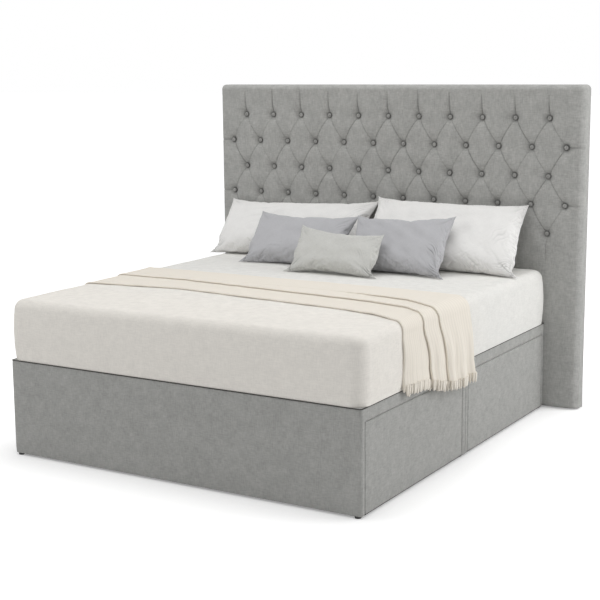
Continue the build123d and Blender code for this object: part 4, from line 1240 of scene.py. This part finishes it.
class BED_OT_cushions(bpy.types.Operator):
    """Fill the two cushions and the small one, and lean them on the pillows"""

    bl_idname = "bed.cushions"
    bl_label = "Cushions"

    def execute(self, context):
        settings = context.scene.divan_bedding
        brushed = case_cloth("brushed_cotton", settings.cushion_colour, 0.04, 0.2 * MM, 0.15)
        linen = case_cloth("pale_linen", settings.small_colour, 0.06, 0.25 * MM, 0.1)
        make_case(settings, "left_cushion", settings.right_lean, brushed, 43)
        make_case(settings, "right_cushion", settings.left_lean, brushed, 44)
        make_case(settings, "small_cushion", settings.small_lean, linen, 45)
        return {"FINISHED"}


def smooth_line(stations, points, blur):
    """A line through (station, value) points, rounded by averaging it over the blur's length."""
    places, values = np.array(points).T
    shifts = np.linspace(-blur, blur, 17)
    weights = np.cos(shifts / blur * pi / 2) ** 2
    lines = [np.interp(stations + shift, places, values) for shift in shifts]
    return np.average(lines, axis=0, weights=weights)


def fold_lines(stations, edge):
    """How far along the bed the throw's three front folds and its rear edge lie at each station, a
    place across the bed measured over the mattress's surface. Each line is given as (station,
    place) points and the length that rounds it. The mattress's side begins at edge."""
    first = [(-1.3, -0.50), (-0.87, -0.515), (-0.39, -0.445), (0.10, -0.497), (0.53, -0.54),
             (0.73, -0.58), (0.87, -0.66), (edge, -0.70), (1.3, -0.70)]
    second = [(-1.3, -0.27), (-0.5, -0.25), (0, -0.295), (0.54, -0.345), (0.79, -0.40),
              (0.89, -0.48), (edge, -0.52), (1.1, -0.475), (1.3, -0.45)]
    third = [(0.3, -0.20), (0.57, -0.24), (0.74, -0.27), (0.87, -0.355), (edge, -0.375),
             (1.1, -0.325), (1.3, -0.30)]
    rear = [(-1.3, -0.04), (0.5, -0.03), (0.9, -0.06), (edge, -0.06), (1.15, -0.045),
            (1.3, -0.032)]
    lines = ((first, 0.08), (second, 0.07), (third, 0.07), (rear, 0.1))
    return [smooth_line(stations, points, blur) for points, blur in lines]


class BED_OT_throw(bpy.types.Operator):
    """Lay the folded throw across the mattress, with its fringes"""

    bl_idname = "bed.throw"
    bl_label = "Folded throw"

    def execute(self, context):
        """The cloth is a folded path along the bed, carried from one hem up over the mattress and
        down to the other."""
        settings = context.scene.divan_throw
        mattress = context.scene.divan_mattress
        _, sheet_high = box_of("fitted_sheet")
        edge = mattress.top_edge
        flat_x = sheet_high[0] - edge
        arc = edge * pi / 2
        end = flat_x + arc
        top = sheet_high[2] + 0.5 * MM
        # the height of the left and the right hem over the floor
        hem = {-1: 445 * MM, 1: 398 * MM}
        drop = {side: top - edge - hem[side] for side in hem}
        stations = np.concatenate(
            [
                np.linspace(-end - drop[-1], -end, 32)[:-1],
                np.linspace(-end, -flat_x, 13)[:-1],
                np.linspace(-flat_x, flat_x, 140)[:-1],
                np.linspace(flat_x, end, 13)[:-1],
                np.linspace(end, end + drop[1], 32),
            ]
        )
        *fronts, rear = fold_lines(stations, end)
        y, lift, shown_rows, shown_count = self.plies(settings, stations, fronts, rear)
        x, z = self.hang(settings, mattress, stations, y, lift, (*fronts, rear), flat_x, top, drop)
        points = np.stack([x, y, z], axis=-1)
        steps = np.hypot(np.diff(y, axis=0), np.diff(lift, axis=0))
        flat_run = np.append(0, np.cumsum(np.median(steps, axis=1)))
        cloth_map = np.stack(np.broadcast_arrays(stations, flat_run[:, None]), axis=-1)
        material = ribbed_wool("ribbed_wool", settings.colour, settings.rib)
        piece = mesh_piece(
            "throw_cloth", points.reshape(-1, 3), [grid_faces(*y.shape)[:, ::-1]],
            material, cloth_map.reshape(-1, 2),
        )
        thicken(piece, settings.cloth, 0)
        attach(piece, "root")
        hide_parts("throw")
        shown = np.zeros(len(y), bool)
        for row in shown_rows:
            shown[row : row + shown_count] = True
        fringes = []
        for i, name, side in ((0, "left", -1), (-1, "right", 1)):
            fringes += self.fringe(settings, material, points[:, i], shown, name, side)
        return {"FINISHED"}

    def plies(self, settings, stations, fronts, rear):
        """The folded path at each station, as places along the bed and heights over the mattress,
        with the first row of each ply that shows and how many rows it has. Each ply lies one ply's
        height above the one below, and each fold is half a turn between its two plies."""
        third = ease(stations, 0.30, 0.62)
        # the third fold flattens out to the left, and the second one before the left edge
        plumpness = (1, 0.25 + 0.75 * ease(stations, -0.75, -0.35), third)
        rears = (rear, rear + 4 * MM, rear - 4 * MM)
        base = settings.cloth / 2 + 0.5 * MM
        hidden = np.linspace(0, 1, 9)[:, None]
        shown = np.concatenate([np.linspace(0, 0.3, 14), np.linspace(0.3, 1, 22)[1:]])[:, None]
        front_turn, rear_turn = (
            np.linspace(-pi / 2, pi / 2, count)[1:-1, None] for count in (9, 7)
        )
        ys, lifts, shown_rows = [], [], []
        for layer, (front, rear) in enumerate(zip(fronts, rears)):
            under = np.full(len(stations), base + 2 * layer * settings.ply)
            over = under + settings.ply
            if layer == 2:
                # where the third fold ends, its two plies lie flat on the second one's
                sunk = base + 3 * settings.ply + 0.4 * MM
                under = sunk + (under - sunk) * third
                over = sunk + 0.4 * MM + (over - sunk - 0.4 * MM) * third
            plump = settings.plump * plumpness[layer]
            radius = (over - under + plump) / 2
            run = front + (rear - front) * shown
            ys += [rear + (front - rear) * hidden, front - radius * np.cos(front_turn), run]
            lifts += [
                np.broadcast_to(under, (len(hidden), len(stations))),
                under + radius * (1 + np.sin(front_turn)),
                over + plump * np.exp(-abs(run - front) / (16 * MM)),
            ]
            shown_rows.append(sum(map(len, ys[:-1])))
            if layer < 2:
                next_under = base + 2 * (layer + 1) * settings.ply
                ys.append(rear + 3 * MM * np.cos(rear_turn))
                lifts.append(over + (next_under - over) * (1 + np.sin(rear_turn)) / 2)
        return np.concatenate(ys), np.concatenate(lifts), shown_rows, len(shown)

    def hang(self, settings, mattress, stations, y, lift, lines, flat_x, top, drop):
        """Where the folded path lies across the bed and up: flat over the mattress, round its top
        edges as quarter circles, and straight down its sides. Soft upright folds grow towards the
        hem. All plies share them, and their hollows lie at the fold lines, so each bundle stands
        out by sine squared of its share of the way across."""
        station = np.broadcast_to(stations, y.shape)
        side, edge = np.sign(station), mattress.top_edge
        angle = np.clip((abs(station) - flat_x) / edge, 0, pi / 2)
        down = np.maximum(abs(station) - flat_x - edge * pi / 2, 0)
        total_drop = np.where(side > 0, drop[1], drop[-1])
        hang = np.clip(down / total_drop, 0, 1)
        # the right hem is taken up towards the front
        taken_up = settings.hem_rise * (1 - ease(y, -0.62, -0.2)) * (side > 0)
        phase = sum(
            count * np.clip((y - first) / (second - first), 0, 1)
            for count, first, second in zip((1, 1, 3), lines[:-1], lines[1:])
        )
        wave = np.sin(pi * phase + 0.5 * np.sin(17 * y)) ** 2
        side_height = 220 * MM
        belly = mattress.side_swell * np.sin(pi * np.clip(down / side_height, 0, 1)) ** 0.8
        narrow = np.sin(2 * pi * y / settings.flute_pitch + 1.6 * drift(y, 0 * y, 0.25, 53))
        bulge = belly + settings.ripple * hang**1.1 * wave + 1.5 * MM * hang
        bulge += settings.flute * (1 + narrow) * hang**0.8 + 0.8 * lift * hang
        unevenness = 0.7 * MM * drift(station, y, 0.16, 51) * (1 - hang)
        reach = edge + lift + 0.8 * MM + unevenness
        x = side * (np.minimum(abs(station), flat_x) + reach * np.sin(angle) + bulge)
        down = down * (1 - taken_up / total_drop)
        return x, top - edge + reach * np.cos(angle) - down

    def fringe(self, settings, material, hem, shown, name, side):
        """A fringe along one hem: strands that hang side by side from the folded edge, each a
        tapered four-sided tube that sways a little. Those of the hidden plies are shorter. The right
        ones that reach below the drawers' top edge make a piece of their own."""
        run = np.append(0, np.cumsum(np.hypot(np.diff(hem[:, 0]), np.diff(hem[:, 1]))))
        count = int(run[-1] / settings.strand_pitch)
        places = np.linspace(0, run[-1], count)
        root = np.stack([np.interp(places, run, hem[:, k]) for k in range(3)], axis=-1)
        row = np.interp(places, run, np.arange(len(run))).astype(int)
        chance = np.random.default_rng(61 + side)
        length = settings.fringe * chance.uniform(0.88, 1.12, count)
        length -= 4 * MM * ease(root[:, 1], -0.5, -0.2) * (side > 0)
        length *= np.where(shown[row], 1, 0.55)
        sway = chance.uniform(-2.5, 2.5, (count, 2)) * MM
        # each strand's rings: their places as shares of its length, and their widths
        levels = np.array([-0.12, 0.1, 0.35, 0.6, 0.85, 1.0])
        widths = np.array([1.3, 1.3, 1.25, 1.05, 0.9, 0.5]) * settings.strand / 2
        turns = np.arange(4) * pi / 2 + pi / 4
        bend = levels**2
        middle = root[:, None, :] + np.stack(
            [sway[:, :1] * 0.4 * bend, sway[:, 1:] * bend, -length[:, None] * levels], axis=-1
        )
        ring = np.stack([0.5 * np.cos(turns), np.sin(turns), 0 * turns], axis=-1)
        strands = middle[:, :, None, :] + widths[None, :, None, None] * ring[None, None]
        tube = grid_faces(len(levels), 4, wrap=True)
        ends = np.array([[3, 2, 1, 0], 4 * len(levels) - 4 + np.arange(4)])
        groups = face_outwards(strands[0].reshape(-1, 3), [tube, ends])
        # the drawers' top edge, and the height at which the strands in front of it would fold up
        drawer_top, fold = 397 * MM, 412 * MM
        low = (root[:, 2] - length < drawer_top) & (side > 0)
        pieces = []
        for part, chosen in (("", ~low), ("_low", low)):
            if not chosen.any():
                continue
            points = strands[chosen]
            shift = (np.arange(len(points)) * 4 * len(levels))[:, None, None]
            faces = [(group[None] + shift).reshape(-1, 4) for group in groups]
            # each strand is a rib of its own, so the ribs' painted shade darkens its edges
            crest = (np.arange(len(points)) + 0.5) * settings.rib
            within = 0.4 * (points[..., 1] - points[:, :1, :1, 1]) + crest[:, None, None]
            cloth_map = np.stack([points[..., 2].ravel(), within.ravel()], axis=-1)
            piece = mesh_piece(
                f"throw_fringe_{name}{part}", points.reshape(-1, 3), faces, material, cloth_map
            )
            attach(piece, "root")
            if part:
                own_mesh(piece)
            pieces.append(piece)
        return pieces


def seen_directly(tree):
    """1 for rays from the camera, a mirror reflection or through glass, and 0 for other light."""
    path = add_node(tree, "ShaderNodeLightPath")
    seen = path.outputs["Is Camera Ray"]
    for ray in ("Is Glossy Ray", "Is Transmission Ray"):
        seen = add_node(
            tree, "ShaderNodeMath", {0: seen, 1: path.outputs[ray]}, operation="MAXIMUM"
        ).outputs[0]
    return seen


class BED_OT_stage(bpy.types.Operator):
    """Set the pale floor, the lamps, the white surroundings and the camera"""

    bl_idname = "bed.stage"
    bl_label = "Stage"

    def execute(self, context):
        settings = context.scene.divan_stage
        self.floor(settings)
        self.surroundings(settings)
        self.lamp("right_lamp", (4.5, 1.8, 2.6), 3.0, settings.side_power)
        self.lamp("left_lamp", (-3.5, -4.0, 3.4), 3.0, settings.front_power)
        self.lamp("upper_lamp", (0.0, -0.3, 5.0), 4.0, settings.top_power)
        self.camera(settings)
        context.scene.view_settings.view_transform = "Standard"
        return {"FINISHED"}

    def floor(self, settings):
        """Matt white paint that the camera sees lifted towards white, more so away from the bed's
        outline, with its shadows kept."""
        material, tree = new_material("white_floor_paint")
        paint = add_node(
            tree, "ShaderNodeBsdfPrincipled", {"Base Color": (*linear("#f2f2f2"), 1), "Roughness": 0.8}
        )
        # how far each place lies outside the base, which is narrower than the headboard
        away = add_node(tree, "ShaderNodeTexCoord").outputs["Object"]
        outline = (cad_box[1][0] - 170 * MM, cad_box[1][1], 0)
        for step, other in (("ABSOLUTE", None), ("SUBTRACT", outline), ("MAXIMUM", (0, 0, 0))):
            inputs = {0: away} if other is None else {0: away, 1: other}
            away = add_node(tree, "ShaderNodeVectorMath", inputs, operation=step).outputs[0]
        distance = add_node(tree, "ShaderNodeVectorMath", {0: away}, operation="LENGTH")
        amount = add_node(
            tree, "ShaderNodeMapRange",
            {
                "Value": distance.outputs["Value"], "From Max": 0.6,
                "To Min": settings.near_lift, "To Max": settings.far_lift,
            },
        ).outputs[0]
        lift = add_node(
            tree, "ShaderNodeMath", {0: seen_directly(tree), 1: amount}, operation="MULTIPLY"
        )
        glow = add_node(tree, "ShaderNodeEmission", {"Color": grey(1.0), "Strength": lift.outputs[0]})
        both = add_node(tree, "ShaderNodeAddShader", {0: paint.outputs[0], 1: glow.outputs[0]})
        add_node(tree, "ShaderNodeOutputMaterial", {"Surface": both.outputs[0]})
        reach = 60.0
        corners = reach * np.array([(-1, -1, 0), (1, -1, 0), (1, 1, 0), (-1, 1, 0)])
        floor = mesh_piece("floor", corners, [np.array([[0, 1, 2, 3]])], material)

    def surroundings(self, settings):
        """Even grey light from all round, which looks white where it is seen directly."""
        world = bpy.data.worlds.new("white_surroundings")
        world.use_nodes = True
        tree = world.node_tree
        tree.nodes.clear()
        strength = add_node(
            tree, "ShaderNodeMix", {"Factor": seen_directly(tree), "A": settings.sky, "B": 1.0}
        )
        sky = add_node(
            tree, "ShaderNodeBackground", {"Color": grey(1.0), "Strength": strength.outputs[0]}
        )
        add_node(tree, "ShaderNodeOutputWorld", {"Surface": sky.outputs[0]})
        bpy.context.scene.world = world

    def lamp(self, name, place, size, watts):
        """A square soft lamp that points at the middle of the bed."""
        light = bpy.data.lights.new(name, "AREA")
        light.shape = "SQUARE"
        light.size = size
        light.energy = watts
        lamp = bpy.data.objects.new(name, light)
        towards = Vector((0, 0, 0.6)) - Vector(place)
        turn = towards.to_track_quat("-Z", "Y").to_matrix().to_4x4()
        lamp.matrix_world = Matrix.Translation(place) @ turn
        bpy.context.scene.collection.objects.link(lamp)

    def camera(self, settings):
        """The camera stands at its place and looks along its yaw, pitch and roll."""
        data = bpy.data.cameras.new("camera")
        data.lens = settings.lens
        data.sensor_width = 36
        camera = bpy.data.objects.new("camera", data)
        turn = Euler((pi / 2 - settings.camera_pitch, 0, settings.camera_yaw)).to_matrix()
        roll = Matrix.Rotation(settings.camera_roll, 3, "Z")
        camera.matrix_world = Matrix.Translation(settings.camera_place) @ (turn @ roll).to_4x4()
        bpy.context.scene.collection.objects.link(camera)
        bpy.context.scene.camera = camera


OPERATORS = (
    BED_OT_inner_finishes,
    BED_OT_base,
    BED_OT_drawer_fronts,
    BED_OT_headboard,
    BED_OT_buttons,
    BED_OT_mattress,
    BED_OT_fitted_sheet,
    BED_OT_pillows,
    BED_OT_cushions,
    BED_OT_throw,
    BED_OT_stage,
)


class BED_PT_pieces(bpy.types.Panel):
    """The bed's pieces and settings in the sidebar"""

    bl_label = "Divan bed"
    bl_idname = "BED_PT_pieces"
    bl_space_type = "VIEW_3D"
    bl_region_type = "UI"
    bl_category = "Divan bed"

    def draw(self, context):
        for operator in OPERATORS:
            self.layout.operator(operator.bl_idname)
        for key, group in SETTINGS.items():
            self.layout.label(text=group.__doc__)
            for name in group.__annotations__:
                self.layout.prop(getattr(context.scene, key), name)


def register():
    """Registers the settings, the operators and the panel."""
    for key, group in SETTINGS.items():
        bpy.utils.register_class(group)
        setattr(bpy.types.Scene, key, PointerProperty(type=group))
    for operator in (*OPERATORS, BED_PT_pieces):
        bpy.utils.register_class(operator)


def unregister():
    """Takes the panel, the operators and the settings away again."""
    for operator in (BED_PT_pieces, *reversed(OPERATORS)):
        bpy.utils.unregister_class(operator)
    for key, group in reversed(SETTINGS.items()):
        delattr(bpy.types.Scene, key)
        bpy.utils.unregister_class(group)


def main():
    """Makes every piece in order."""
    register()
    for operator in OPERATORS:
        group, name = operator.bl_idname.split(".")
        getattr(getattr(bpy.ops, group), name)()


if __name__ == "__main__":
    main()
